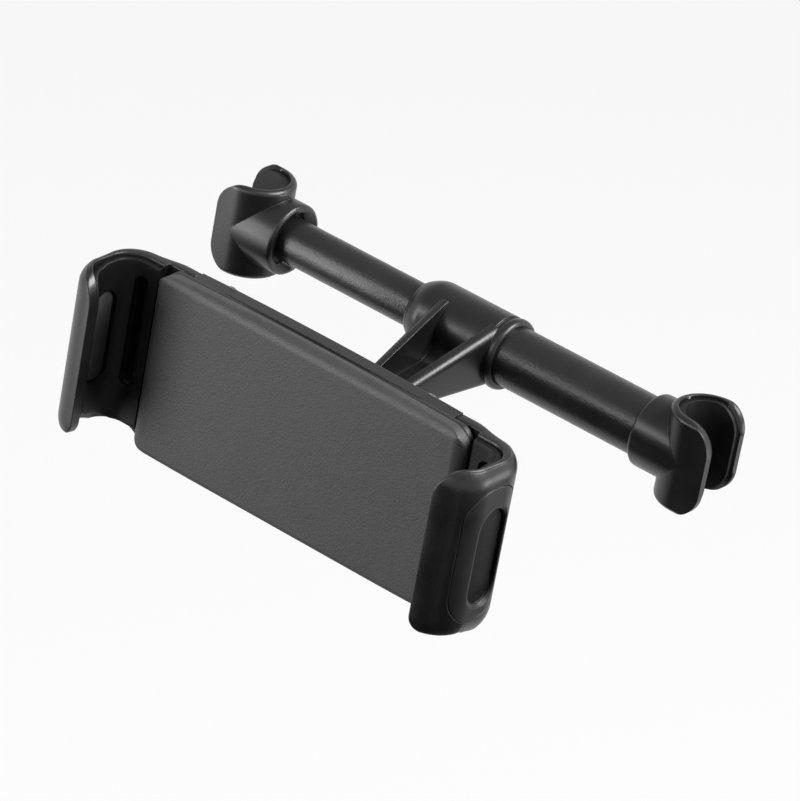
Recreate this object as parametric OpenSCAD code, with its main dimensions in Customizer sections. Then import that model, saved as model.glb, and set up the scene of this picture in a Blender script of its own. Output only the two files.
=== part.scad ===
// Tablet holder for the back of a car's front seat
//
// A telescopic bar hooks onto the two posts of a headrest. An arm in the
// middle of the bar carries a ball joint, and the ball joint carries a head
// whose two sprung jaws close on a tablet.
//
// Frame: +X runs along the bar, to the right as seen from the back seat.
// +Y points to the seat, away from the viewer. +Z is up, along the posts.
// The origin is on the bar's axis, at the middle of the head's width.
// All sizes are in millimetres.

/* [Bar] */
// X of the right headrest post's axis
right_post_x = 72; // [60:0.5:90]
// X of the left headrest post's axis, as shown
left_post_x = -75.1; // [-92:0.1:-60]
// Outside radius of the thick tube
outer_tube_r = 8; // [6:0.1:12]
// Bore radius of the thick tube
outer_tube_bore = 6.5; // [5:0.1:10]
// Outside radius of the thin tube
inner_tube_r = 6; // [4:0.1:9]
// Bore radius of the thin tube
inner_tube_bore = 4.8; // [3:0.1:8]
// X of the thin tube's hidden end
inner_tube_end = 12; // [0:1:20]
// Radial play of a sliding or turning fit
running_play = 0.05; // [0.01:0.01:0.1]

/* [Hub and arm] */
// Outside radius of the hub that holds the thick tube
hub_r = 9.45; // [9:0.05:14]
// X of the hub's left end
hub_left = -17.9; // [-30:0.1:-12]
// X of the hub's right end
hub_right = 12; // [10:0.1:25]
// Half width of the arm at the hub
arm_half_width_hub = 10.3; // [6:0.1:14]
// Half width of the arm at its tip
arm_half_width_tip = 6.6; // [3:0.1:10]
// Thickness of the arm's two walls
arm_wall = 2.7; // [1:0.1:4]
// Thickness of the arm's floor
arm_floor = 2.2; // [1:0.1:4]
// Top of the arm at the hub
arm_top_hub = 9; // [4:0.1:9.2]
// Top of the arm at its tip
arm_top_tip = -1.5; // [-4:0.1:4]
// Underside of the arm
arm_bottom = -7.9; // [-10:0.1:-4]
// Y of the arm's tip
arm_tip_y = -36; // [-38:0.5:-25]

/* [Ball joint] */
// Y of the ball's centre
ball_y = -45; // [-60:0.5:-38]
// Z of the ball's centre
ball_z = -4.6; // [-12:0.1:4]
// Radius of the ball
ball_r = 6.5; // [4:0.1:10]
// Radius of the ball's neck
neck_r = 2.6; // [2:0.1:4]
// Play between the ball and what holds it
ball_play = 0.3; // [0.05:0.05:0.5]
// Outside radius of the lock nut
nut_r = 12.6; // [12:0.1:16]
// Number of grip flutes round the lock nut
nut_flutes = 14; // [8:1:24]
// Outside radius of the socket boss that the nut turns on
boss_r = 9.7; // [9.5:0.1:10.6]

/* [Head] */
// Z of the head's top edge, in the middle
head_top = 17.3; // [10:0.1:30]
// Z of the head's bottom edge, in the middle
head_bottom = -33.4; // [-50:0.1:-25]
// Y of the head's back face
head_back_y = -61; // [-70:0.5:-58]
// Radius of the slight bow of the top and bottom edges
crown_r = 1350; // [400:10:5000]
// Half width of the housing between the two jaws
housing_half = 41.7; // [35:0.1:60]
// Half width of the front plate
plate_half = 49.4; // [40:0.1:70]
// Y of the front plate's face
plate_face_y = -70; // [-75:0.1:-66]
// Radius of the front plate's rounded edge, at the top and the sides
plate_edge_r = 3; // [0.5:0.1:3.5]
// Radius of the front plate's lower edge
plate_low_edge_r = 1.5; // [0.5:0.1:3.5]
// Radius of the front plate's corners
plate_corner_r = 5.5; // [3:0.1:12]

/* [Jaws] */
// Half width of the clamp over both jaws when shut
jaw_half = 64.3; // [55:0.1:90]
// Y of the jaw lip's front face
lip_front_y = -87; // [-95:0.5:-78]
// Thickness of the jaw's wall
jaw_wall = 3; // [2:0.1:5]
// Radius of the jaw's outside corners, seen from above
jaw_corner_r = 9.5; // [5:0.1:13]
// X of the lip's free edge
lip_edge_x = 54.8; // [45:0.1:60]
// Z of the underside of the lip
lip_bottom = -28; // [-33:0.1:-15]
// Z of the jaw's flat top edge
jaw_top = 16.5; // [10:0.1:25]
// How far the rounding of the jaw's top would rise above that edge
shoulder_rise = 1.5; // [0:0.1:2]
// Radius of the rounding along the jaw's top
shoulder_r = 6; // [2:0.1:9]
// Radius of the rounding along the jaw's bottom
keel_r = 8; // [2:0.1:9]
// Radius of the side view's curve up to the lip
sweep_r = 39; // [20:1:80]
// Radius of the lip's free corner at the top
lip_corner_top = 8; // [1:0.1:9]
// Radius of the lip's free corner at the bottom
lip_corner_low = 3.5; // [1:0.1:9]
// How much thicker the jaw's back wall is beside the plate
floor_t = 1.8; // [0:0.1:3]
// Thickness of the rubber liner
liner_t = 1.6; // [0.8:0.1:2.5]
// How far the liner stays under the jaw's top edge
liner_drop = 1.7; // [0.5:0.1:3]
// Thickness of the cover on the jaw's side
cover_t = 1.2; // [0.8:0.1:1.6]

/* [Hooks] */
// Radius of the headrest post
post_r = 6.5; // [5:0.1:8]
// Thickness of the rubber liner in the hook
hook_liner_t = 1.5; // [0.8:0.1:3]
// Wall of the hook's shell
hook_wall = 1.8; // [1.2:0.1:4]
// Outside radius of the collar round the tube
collar_r = 9.45; // [8.8:0.05:14]
// Half height of the hook
hook_half = 12.7; // [8:0.1:18]
// Reach of the long flap beyond the post's axis
long_flap = 7.5; // [4:0.1:14]
// Reach of the short flap beyond the post's axis
short_flap = 4.8; // [2:0.1:14]
// How far the liner stays short of the flap's edge
liner_step = 1.6; // [0.5:0.1:3]
// Radius of the flaps' corners
flap_corner_r = 7.5; // [1:0.1:8]

/* [Springs] */
// Wire radius of the bar's spring
bar_wire_r = 0.6; // [0.3:0.05:1]
// Turns of the bar's spring
bar_turns = 18; // [8:1:30]
// Wire radius of a jaw's spring
jaw_wire_r = 0.4; // [0.2:0.05:0.6]
// Turns of a jaw's spring
jaw_turns = 15; // [8:1:30]

/* [Hidden] */
$fn = 96;

// The post cavity of a hook's shell, and the ends of the tubes in the hooks
shell_in = post_r + hook_liner_t;
hook_r = shell_in + hook_wall;
right_tube_end = right_post_x - shell_in - 1.8;
left_tube_end = left_post_x + shell_in + 1.8;
right_collar_x = right_post_x - 16;
left_collar_x = left_post_x + 14.2;
// Where the spring in the bar stands on the two plugs
plug_face_right = right_tube_end - 12;
plug_face_left = left_tube_end + 8;

// Grub screw that holds the hub on the thick tube, from below: it stands in
// the tube's wall and clear of the bush
grub_x = -2;
grub_r = 1.4;
grub_low = -hub_r + 0.2;
grub_high = -outer_tube_r + 1.35;

// Middle of the head and the layers between its back and its front
head_mid = (head_top + head_bottom) / 2;
lid_y = -64.8;
plate_back_y = -66.4;
lid_half = plate_half - 0.5;
// Direction, from the middle of the jaw's back corner, past which the rounding
// runs out along the back; three by four, so that the turn is exact
run_out = [24, 32];
// X where the jaw's back wall grows thicker
floor_x = plate_half + 0.8;
// X and Z of the slot in a jaw's inside corner, and the radius of its ends
slot_x = [jaw_half - 11.4, jaw_half - 7];
slot_z = [-19.5, 11.5];
slot_r = 2.1;
// Oval recess in a jaw's side: Y of its middle, Z of its ends, radius
oval_y = -72.4;
oval_z = [-21.5, 4.5];
oval_r = 5;
// X and Z of the four screws through the back of the head
screw_x = 32;
screw_z = [-30.4, 14.6];
// Heights between which the jaw's rounded wall stands
jaw_high = jaw_top + shoulder_rise;
jaw_low = head_bottom + 0.7;
// The tongues of the jaws and the springs behind them
tongue_back = -61.4;
tongue_front = -64;
spring_y = -58.7;
spring_dz = 8.5;
spring_wall_x = 35.5;
tab_x = 33;
tab_back = -56.4;
tab_t = 2.2;
spring_r = 1.75;
seat_r = ball_r + ball_play;
seat_out = ball_r + 1.8;
socket_in = seat_out + ball_play;

// Helpers

// Rounded rectangle from two corners
module rounded_box_2d(x0, y0, x1, y1, r) {
    union() {
        translate([x0 + r, y0]) square([x1 - x0 - 2 * r, y1 - y0]);
        translate([x0, y0 + r]) square([x1 - x0, y1 - y0 - 2 * r]);
        for (x = [x0 + r, x1 - r], y = [y0 + r, y1 - r])
            translate([x, y]) circle(r);
    }
}

// Extrude a 2D shape drawn in X and Z along Y, from y0 to y1
module along_y(y0, y1) {
    translate([0, y1, 0]) rotate([90, 0, 0]) linear_extrude(y1 - y0) children();
}

// Extrude a 2D shape drawn in Y and Z along X, from x0 to x1
module along_x(x0, x1) {
    translate([x0, 0, 0]) rotate([90, 0, 90]) linear_extrude(x1 - x0) children();
}

// A cylinder along X
module rod_x(x0, x1, r) {
    translate([x0, 0, 0]) rotate([0, 90, 0]) cylinder(h = x1 - x0, r = r);
}

// A cone along X, with its two radii
module cone_x(x0, x1, ra, rb) {
    translate([x0, 0, 0]) rotate([0, 90, 0]) cylinder(h = x1 - x0, r1 = ra, r2 = rb);
}

// A cylinder along Y
module rod_y(y0, y1, r) {
    translate([0, y1, 0]) rotate([90, 0, 0]) cylinder(h = y1 - y0, r = r);
}

// A cone along Y, with its radii at y0 and at y1
module cone_y(y0, y1, ra, rb) {
    translate([0, y1, 0]) rotate([90, 0, 0]) cylinder(h = y1 - y0, r1 = rb, r2 = ra);
}

// Coil spring along X, from x0 to x1
module coil_x(x0, x1, r, wire, turns) {
    per = 10;
    ring = 5;
    n = turns * per;
    len = x1 - x0 - 2 * wire;
    pts = [for (i = [0:n], j = [0:ring - 1])
        let (a = 360 * i / per, b = 360 * j / ring,
             t = i / n,
             rr = r + wire * cos(b))
        [x0 + wire + len * t + wire * sin(b), rr * cos(a), rr * sin(a)]];
    side = [for (i = [0:n - 1], j = [0:ring - 1], k = [0, 1])
        let (a = i * ring + j, b = i * ring + (j + 1) % ring,
             c = a + ring, d = b + ring)
        k == 0 ? [a, b, d] : [a, d, c]];
    ends = [for (j = [1:ring - 2]) each [[0, j + 1, j],
        [n * ring, n * ring + j, n * ring + j + 1]]];
    polyhedron(points = pts, faces = concat(side, ends), convexity = 10);
}

// Outline of the head in X and Z, with its bowed top and bottom
module crown_2d() {
    intersection() {
        translate([0, head_top - crown_r]) circle(crown_r, $fn = 720);
        translate([0, head_bottom + crown_r]) circle(crown_r, $fn = 720);
        translate([-150, head_bottom - 5]) square([300, head_top - head_bottom + 10]);
    }
}

// The bar's fixed side

// Hub, arm and ball in one moulding
module mount_bracket() color("#26272a") {
    difference() {
        union() {
            rod_x(hub_left + 6, 8, hub_r);
            cone_x(hub_left + 2.6, hub_left + 6, hub_r - 0.9, hub_r);
            cone_x(hub_left, hub_left + 2.6, hub_r - 2.3, hub_r - 0.9);
            rod_x(8, 8.4, hub_r - 0.4);
            rod_x(8.4, hub_right - 1.2, hub_r);
            cone_x(hub_right - 1.2, hub_right - 0.4, hub_r, hub_r - 0.5);
            cone_x(hub_right - 0.4, hub_right, hub_r - 0.5, hub_r - 1.1);
            difference() {
                arm_body();
                arm_pocket();
            }
            translate([0, 0, ball_z]) {
                cone_y(arm_tip_y - 2, arm_tip_y + 0.5, neck_r, neck_r + 0.6);
                rod_y(ball_y, arm_tip_y, neck_r);
                translate([0, ball_y, 0]) sphere(ball_r);
            }
        }
        // seat of the thick tube, and the way through for the thin one
        rod_x(hub_left + 1, hub_right + 1, outer_tube_r);
        rod_x(hub_left - 1, hub_left + 2, inner_tube_r + 0.4);
        // hole of the grub screw
        translate([grub_x, 0, -hub_r - 1]) cylinder(h = 4, r = grub_r);
    }
}

module arm_body() {
    hull() {
        along_y(-4, -3) rounded_box_2d(-arm_half_width_hub, arm_bottom,
            arm_half_width_hub, arm_top_hub, 3.6, $fn = 40);
        along_y(arm_tip_y, arm_tip_y + 1) rounded_box_2d(-arm_half_width_tip, arm_bottom,
            arm_half_width_tip, arm_top_tip, 2, $fn = 40);
    }
}

// Open pocket between the arm's two walls
module arm_pocket() {
    difference() {
        hull() {
            along_y(-6, -5) pocket_2d(arm_half_width_hub - arm_wall - 0.5, 12);
            along_y(arm_tip_y + 2, arm_tip_y + 3) pocket_2d(arm_half_width_tip - arm_wall, 3);
        }
        rod_x(-30, 30, hub_r + 0.01);
    }
}

module pocket_2d(half, top) {
    translate([-half, arm_bottom + arm_floor])
        square([2 * half, top - arm_bottom - arm_floor]);
}

module outer_tube() color("#2b2c2f") difference() {
    rod_x(hub_left + 1, right_tube_end, outer_tube_r);
    rod_x(hub_left, right_tube_end + 1, outer_tube_bore);
    translate([grub_x, 0, -hub_r - 1]) cylinder(h = 4, r = grub_r);
}

// Bush in the thick tube's mouth, in which the thin tube slides; its end
// stops the guide ring when the bar is at its full length
module mouth_bush() color("#d9d8d2") difference() {
    rod_x(hub_left + 1, inner_tube_end - 4.05, outer_tube_bore);
    rod_x(hub_left, inner_tube_end, inner_tube_r + running_play);
}

module tube_grub_screw() color("#9a9ca0") difference() {
    translate([grub_x, 0, grub_low]) cylinder(h = grub_high - grub_low, r = grub_r);
    translate([grub_x, 0, grub_low - 0.2]) cylinder(h = 1.2, r = 0.75, $fn = 6);
}

// The hooks

// Side profile of one flap, in X and Z from the post's axis outwards
module flap_2d(reach) {
    r = flap_corner_r;
    union() {
        translate([-20, -hook_half]) square([20 + reach - r, 2 * hook_half]);
        translate([-20, -hook_half + r]) square([20 + reach, 2 * (hook_half - r)]);
        for (z = [-hook_half + r, hook_half - r]) translate([reach - r, z]) circle(r);
    }
}

// U of given half width, open to +X, drawn from the post's axis
module u_2d(r, reach) {
    union() {
        circle(r);
        translate([0, -r]) square([reach, 2 * r]);
    }
}

// Hook shell that opens to +X, with the long flap on its -Y side
module hook_shell(collar) {
    e = 1.4;
    difference() {
        union() {
            intersection() {
                union() {
                    // round back with eased edges
                    intersection() {
                        translate([0, 0, -hook_half]) rotate_extrude() union() {
                            square([hook_r - e, 2 * hook_half]);
                            translate([0, e]) square([hook_r, 2 * (hook_half - e)]);
                            for (z = [e, 2 * hook_half - e]) translate([hook_r - e, z]) circle(e);
                        }
                        translate([-20, -20, -20]) cube([20, 40, 40]);
                    }
                    // straight flaps with the same eased edges
                    along_x(0, 20) rounded_box_2d(-hook_r, -hook_half, hook_r, hook_half, e);
                }
                union() {
                    along_y(-20, 0) flap_2d(long_flap);
                    along_y(0, 20) flap_2d(short_flap);
                }
            }
            // collar round the tube
            rod_x(-collar + 1.4, -hook_r + 3, collar_r);
            cone_x(-collar + 0.5, -collar + 1.4, collar_r - 0.35, collar_r);
            cone_x(-collar, -collar + 0.5, collar_r - 0.8, collar_r - 0.35);
        }
        translate([0, 0, -20]) linear_extrude(40) u_2d(shell_in, 20);
        // bore for the tube, and the hook screw's way through
        rod_x(-collar - 1, -shell_in - 1.8, outer_tube_r);
        rod_x(-30, 0, 1.65);
        cone_x(-shell_in - 1.4, -shell_in + 0.1, 1.65, 3.15);
    }
}

// Moulded rubber in the hook, round the post
module hook_liner() {
    difference() {
        intersection() {
            translate([0, 0, -hook_half + 0.8]) linear_extrude(2 * hook_half - 1.6)
                u_2d(shell_in, 20);
            union() {
                along_y(-20, 0) flap_2d(long_flap - liner_step);
                along_y(0, 20) flap_2d(short_flap - liner_step);
            }
        }
        translate([0, 0, -20]) linear_extrude(40) u_2d(post_r, 20);
    }
}

// Screw through the hook's back into the plug
module hook_screw() {
    difference() {
        union() {
            rod_x(-shell_in - 8, -shell_in - 1.3, 1.6);
            cone_x(-shell_in - 1.4, -shell_in - 0.05, 1.6, 3);
        }
        rod_x(-shell_in - 1, -shell_in + 1, 1.1, $fn = 6);
    }
}

module right_hook() color("#26272a")
    translate([right_post_x, 0, 0]) hook_shell(right_post_x - right_collar_x);

module right_hook_liner() color("#1b1b1c")
    translate([right_post_x, 0, 0]) hook_liner();

module right_hook_screw() color("#9a9ca0")
    translate([right_post_x, 0, 0]) hook_screw();

module right_plug() color("#1f1f21") difference() {
    rod_x(plug_face_right, right_tube_end, outer_tube_bore);
    rod_x(right_post_x - shell_in - 8, right_tube_end + 1, 1.6);
}

// The same moulding turned half round, so that its long flap is at the back
module left_hook() color("#26272a")
    translate([left_post_x, 0, 0]) rotate(180) hook_shell(left_collar_x - left_post_x);

module left_hook_liner() color("#1b1b1c")
    translate([left_post_x, 0, 0]) rotate(180) hook_liner();

module left_hook_screw() color("#9a9ca0")
    translate([left_post_x, 0, 0]) rotate(180) hook_screw();

// The bar's sliding side

module inner_tube() color("#2f3033") difference() {
    rod_x(left_tube_end, inner_tube_end, inner_tube_r);
    rod_x(left_tube_end - 1, inner_tube_end + 1, inner_tube_bore);
}

// Ring on the thin tube that runs in the thick tube's bore
module guide_ring() color("#d9d8d2") difference() {
    rod_x(inner_tube_end - 4, inner_tube_end, outer_tube_bore - running_play);
    rod_x(inner_tube_end - 5, inner_tube_end + 1, inner_tube_r);
}

// Reducing bush that fits the thin tube to the hook's wide bore
module left_bush() color("#1f1f21") difference() {
    rod_x(left_tube_end, left_tube_end + 1, outer_tube_r);
    rod_x(left_tube_end - 1, left_tube_end + 2, inner_tube_r);
}

module left_plug() color("#1f1f21") difference() {
    rod_x(left_tube_end, plug_face_left, inner_tube_bore);
    rod_x(left_tube_end - 1, left_post_x + shell_in + 8, 1.6);
}

module bar_spring() color("#a7a9ac")
    coil_x(plug_face_left, plug_face_right, 3.5, bar_wire_r, bar_turns);

// The ball joint

// Cup between the ball and the socket
module ball_seat() color("#d9d8d2") {
    lip = 60;
    translate([0, ball_y, ball_z]) intersection() {
        difference() {
            sphere(seat_out);
            sphere(seat_r);
        }
        cone_y(-12, 0, 12 * tan(lip), 0.001);
    }
}

module lock_nut() color("#232427") {
    back = 4.4;
    grip_back = -2.2;
    front = -7.5;
    grip_depth = 0.9;
    translate([0, ball_y, ball_z]) difference() {
        union() {
            cone_y(grip_back, back, nut_r - grip_depth, seat_r + 1.2);
            along_y(front + 0.7, grip_back) difference() {
                circle(nut_r);
                for (i = [0:nut_flutes - 1]) rotate(360 * (i + 0.5) / nut_flutes)
                    translate([nut_r + 0.8, 0]) circle(1.5);
            }
            rod_y(front, front + 0.7, nut_r - grip_depth);
        }
        // room for the ball, in steps of five degrees, and its flared way out
        rotate([-90, 0, 0]) rotate_extrude() polygon(concat([[0, -0.6], [seat_r, -0.6]],
            [for (t = [0:5:35]) 1.001 * seat_r * [cos(t), sin(t)]],
            [[seat_r - 0.5, back + 0.01], [0, back + 0.01]]));
        rod_y(front - 1, -0.5, boss_r + running_play);
    }
}

// The head

module rear_housing() color("#26272a") {
    difference() {
        union() {
            // the rim that is seen along the top
            intersection() {
                along_y(lid_y, head_back_y) crown_2d();
                translate([-housing_half, -80, -60]) cube([2 * housing_half, 40, 120]);
            }
            // tapered box behind it
            intersection() {
                along_x(-45, 45) polygon([[head_back_y - 1, -28.5], [head_back_y, -28],
                    [-54, -24.5], [-54, 8], [head_back_y, 11.5], [head_back_y - 1, 12]]);
                translate([0, 0, -60]) linear_extrude(120) polygon([[-41, head_back_y - 1],
                    [-40.5, head_back_y], [-37.5, -54], [37.5, -54], [40.5, head_back_y],
                    [41, head_back_y - 1]]);
            }
            // socket boss for the ball joint
            translate([0, 0, ball_z]) rod_y(-55, ball_y - 0.9, boss_r);
        }
        // socket
        translate([0, ball_y, ball_z]) sphere(socket_in);
        // room for the springs, and for the tongues in front of them
        translate([-spring_wall_x, tongue_back + 0.3, head_mid - 12])
            cube([2 * spring_wall_x, -56 - tongue_back - 0.3, 24]);
        translate([-40.2, lid_y - 1, head_mid - 15.9])
            cube([80.4, tongue_back + 0.3 - lid_y + 1.001, 31.8]);
        // slots in the ends for the tongues
        translate([-50, lid_y - 1, head_mid + 1.2])
            cube([20, tongue_back + 0.3 - lid_y + 1, 14.7]);
        translate([30, lid_y - 1, head_mid - 15.9])
            cube([20, tongue_back + 0.3 - lid_y + 1, 14.7]);
        // screw holes
        for (x = [-screw_x, screw_x], z = screw_z) translate([x, 0, z]) {
            rod_y(lid_y - 1, head_back_y + 1, 1.35);
            cone_y(head_back_y - 1.3, head_back_y + 0.1, 1.35, 2.85);
        }
    }
    // rib that parts the two tongues
    translate([-37.8, lid_y, head_mid - 1.2])
        cube([75.6, -56 - lid_y + 0.5, 2.4]);
}

module housing_lid() color("#232427") difference() {
    intersection() {
        along_y(plate_back_y, lid_y) intersection() {
            crown_2d();
            rounded_box_2d(-lid_half, head_bottom + 0.4, lid_half, head_top - 0.4, 5);
        }
    }
    for (x = [-screw_x, screw_x], z = screw_z) translate([x, 0, z])
        rod_y(plate_back_y - 1, lid_y + 1, 1.3);
}

// The large matte face that the tablet leans on
module front_plate() color("#3a3b3e") {
    intersection() {
        along_y(plate_face_y, plate_back_y) plate_2d();
        along_x(-60, 60) plate_side_2d();
        translate([0, 0, -60]) linear_extrude(120)
            rounded_box_2d(-plate_half, plate_face_y, plate_half, -50, plate_edge_r);
    }
}

// Outline of the plate: crowned long edges that run into round corners
module plate_2d() {
    x = plate_half - plate_corner_r;
    rise = crown_r - sqrt(pow(crown_r - plate_corner_r, 2) - x * x);
    union() {
        intersection() {
            crown_2d();
            translate([-x, head_bottom - 1]) square([2 * x, head_top - head_bottom + 2]);
        }
        translate([-plate_half, head_bottom + rise])
            square([2 * plate_half, head_top - head_bottom - 2 * rise]);
        for (side = [-1, 1], z = [head_bottom + rise, head_top - rise])
            translate([side * x, z]) circle(plate_corner_r);
    }
}

// Side view of the plate, with its two front edges rounded
module plate_side_2d() {
    hull() {
        translate([plate_face_y + plate_edge_r, head_top - plate_edge_r]) circle(plate_edge_r);
        translate([plate_face_y + plate_low_edge_r, head_bottom + plate_low_edge_r])
            circle(plate_low_edge_r);
        translate([-52, head_bottom]) square([2, head_top - head_bottom]);
    }
}

module housing_screws() color("#9a9ca0")
    for (x = [-screw_x, screw_x], z = screw_z) translate([x, 0, z]) difference() {
        union() {
            rod_y(plate_back_y, head_back_y - 1.2, 1.3);
            cone_y(head_back_y - 1.3, head_back_y, 1.3, 2.7);
        }
        rod_y(head_back_y - 0.9, head_back_y + 1, 0.9, $fn = 6);
    }

// The jaws, drawn for the right-hand side

// Outline from above of a jaw offset inwards by d
module jaw_outline_2d(d) {
    rounded_box_2d(20 + d, lip_front_y + d, jaw_half - d, head_back_y - d, jaw_corner_r - d);
}

// Room inside the jaw, seen from above, offset inwards by d
module jaw_room_2d(d) {
    e = jaw_wall + d;
    rounded_box_2d(20 + e, lip_front_y + e, jaw_half - e, head_back_y - floor_t - e,
        jaw_corner_r - e);
}

// What the liner keeps of that outline
module jaw_span_2d(back_x, front_x) {
    union() {
        translate([back_x, -75]) square([60, 20]);
        translate([front_x, -100]) square([60, 30]);
    }
}

// Side view of the jaw, in Y and Z: flat on top, and swept up to the lip at
// the bottom; d makes it lower and higher inside that
module jaw_side_2d(d) {
    sweep_y = -82;
    difference() {
        translate([-100, jaw_low - 1 + 2.4 * d]) square([60, jaw_top - jaw_low + 1 - 3.4 * d]);
        translate([sweep_y, lip_bottom - 0.4 + d - sweep_r]) circle(sweep_r);
        translate([-110, jaw_low - 2]) square([110 + sweep_y - 10, lip_bottom + d - jaw_low + 2]);
    }
}

// What is taken off the jaw's wall, above and below, to round it at x1
module jaw_cutters_2d(x1) {
    translate([x1 - shoulder_r, jaw_high - shoulder_r]) difference() {
        square(shoulder_r + 1);
        circle(shoulder_r);
    }
    translate([x1 - keel_r, jaw_low + keel_r]) difference() {
        translate([0, -keel_r - 1]) square(keel_r + 1);
        circle(keel_r);
    }
}

// Section across the jaw's wall, from x0 out to the depth d under x1, with
// the rounding of a wall whose outer face is at x1
module jaw_section_2d(x0, x1, d) {
    difference() {
        translate([x0, jaw_low]) square([x1 - d - x0, jaw_high - jaw_low]);
        jaw_cutters_2d(x1);
    }
}

// Wall of the jaw between the depths d0 and d1 under its outer face; the
// rounding of top and bottom runs round the side and the lip, and runs out
// along the back past the corner
module jaw_band(d0, d1, back_x) {
    r = jaw_corner_r;
    cx = jaw_half - r;
    back = head_back_y - r;
    front = lip_front_y + r;
    union() {
        along_y(front, back) jaw_section_2d(jaw_half - d1, jaw_half, d0);
        translate([cx, front, 0]) rotate(-90) rotate_extrude(angle = 90)
            jaw_section_2d(r - d1, r, d0);
        intersection() {
            translate([cx, back, 0]) rotate_extrude() jaw_section_2d(r - d1, r, d0);
            translate([cx, back, -60]) linear_extrude(120)
                polygon([[0, 0], [40, 0], [40, 32], run_out]);
        }
        jaw_back_run(d0, d1, back_x);
    }
}

// Back of that wall past the middle of its corner, as far as back_x
module jaw_back_run(d0, d1, back_x) {
    r = jaw_corner_r;
    cx = jaw_half - r;
    back = head_back_y - r;
    difference() {
        translate([0, 0, jaw_low]) linear_extrude(jaw_high - jaw_low) difference() {
            union() {
                translate([cx, back]) circle(r - d0);
                translate([back_x, back]) square([cx - back_x, r - d0]);
            }
            translate([cx, back]) circle(r - d1);
            translate([back_x - 1, back - 20]) square([cx - back_x + 1, 20 + r - d1]);
            translate([cx, back]) polygon([[0, 0], [0, -30], [40, -30], [40, 32], run_out]);
        }
        translate([cx, back, 0]) rotate(atan2(run_out[1], run_out[0]))
            along_y(-1, 30) jaw_cutters_2d(r);
    }
}

// Thickening of the back wall beside the plate
module jaw_floor() {
    low = jaw_low + 0.6;
    translate([0, 0, low]) linear_extrude(jaw_top - liner_drop - low) intersection() {
        difference() {
            jaw_outline_2d(jaw_wall - 0.5);
            jaw_room_2d(0);
        }
        translate([floor_x, head_back_y - jaw_wall - floor_t - 6]) square([60, 8 + floor_t]);
    }
}

// Corners of the lip's free edge, to be cut away
module lip_corners(x, top, bottom) {
    rt = lip_corner_top;
    rb = lip_corner_low;
    along_y(-100, -78) union() {
        difference() {
            translate([x - 10, top - rt]) square([10 + rt, rt + 10]);
            translate([x + rt, top - rt]) circle(rt);
        }
        difference() {
            translate([x - 10, bottom - 10]) square([10 + rb, 10 + rb]);
            translate([x + rb, bottom + rb]) circle(rb);
        }
    }
}

// Window of the side cover, in Y and Z, grown by d
module cover_2d(d) {
    rounded_box_2d(-83 - d, -24.8 - d, -65.4 + d, 11 + d, 7.5 + d);
}

// Upright oval, in Y and Z
module oval_2d(y, z0, z1, r) {
    union() {
        translate([y, z0 + r]) circle(r);
        translate([y, z1 - r]) circle(r);
        translate([y - r, z0 + r]) square([2 * r, z1 - z0 - 2 * r]);
    }
}

module jaw_shell() {
    difference() {
        intersection() {
            union() {
                jaw_band(0, jaw_wall, housing_half + 0.3);
                jaw_floor();
            }
            along_x(0, 100) jaw_side_2d(0);
        }
        translate([lip_edge_x - 29.9, -100, -60]) cube([30, 20, 120]);
        lip_corners(lip_edge_x + 0.1, jaw_top - 0.3, lip_bottom);
        // pocket for the side cover
        intersection() {
            translate([0, 0, -60]) linear_extrude(120) difference() {
                translate([50, -100]) square([30, 60]);
                jaw_outline_2d(cover_t);
            }
            along_x(50, 80) cover_2d(0.25);
        }
        // deeper recess behind the cover's oval
        along_x(jaw_half - 2.1, jaw_half + 5) oval_2d(oval_y, oval_z[0], oval_z[1], oval_r);
        // slot in the inside corner
        along_y(head_back_y - jaw_wall - floor_t - 1, head_back_y - 1.6)
            rounded_box_2d(slot_x[0], slot_z[0], slot_x[1], slot_z[1], slot_r);
    }
}

// Sliding tongue with the tab that presses the spring; side is +1 for the
// upper place and -1 for the lower one, and the tongue reaches to -X
module jaw_tongue(side) {
    z0 = head_mid + (side > 0 ? 1.5 : -15.6);
    translate([-spring_wall_x + 0.3, tongue_front, z0])
        cube([spring_wall_x + housing_half + 1, tongue_back - tongue_front, 14.1]);
    translate([-tab_x - tab_t, tongue_front, head_mid + side * spring_dz - 2.6])
        cube([tab_t, tab_back - tongue_front, 5.2]);
}

module jaw_liner_shape() {
    difference() {
        intersection() {
            translate([0, 0, -60]) linear_extrude(120) intersection() {
                difference() {
                    jaw_room_2d(0);
                    jaw_room_2d(liner_t);
                }
                jaw_span_2d(floor_x + 0.2, lip_edge_x + 1.2);
            }
            along_x(0, 100) jaw_side_2d(liner_drop);
        }
        lip_corners(lip_edge_x + 1.2, jaw_top - liner_drop - 0.3, lip_bottom + liner_drop);
        // oval window in the side
        along_x(jaw_half - 8, jaw_half) oval_2d(-74.6, -18.5, 7.5, 3.9);
        // window over the corner slot
        along_y(-70, -60) rounded_box_2d(slot_x[0], slot_z[0], slot_x[1], slot_z[1], slot_r);
    }
}

module jaw_cover_shape() {
    difference() {
        intersection() {
            translate([0, 0, -60]) linear_extrude(120) intersection() {
                difference() {
                    jaw_outline_2d(0);
                    jaw_outline_2d(cover_t);
                }
                translate([50, -100]) square([30, 60]);
            }
            along_x(50, 80) cover_2d(0);
        }
        along_x(50, 80) oval_2d(oval_y, oval_z[0], oval_z[1], oval_r);
        // eased edge round the oval
        for (i = [0:1]) along_x(jaw_half - 0.35 * (2 - i), jaw_half + 1)
            oval_2d(oval_y, oval_z[0] - 0.4 * (i + 1), oval_z[1] + 0.4 * (i + 1), oval_r + 0.4 * (i + 1));
    }
}

module right_jaw() color("#26272a") {
    jaw_shell();
    jaw_tongue(-1);
}

module right_jaw_liner() color("#1b1b1c") jaw_liner_shape();

module right_jaw_cover() color("#2b2c2f") jaw_cover_shape();

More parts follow.
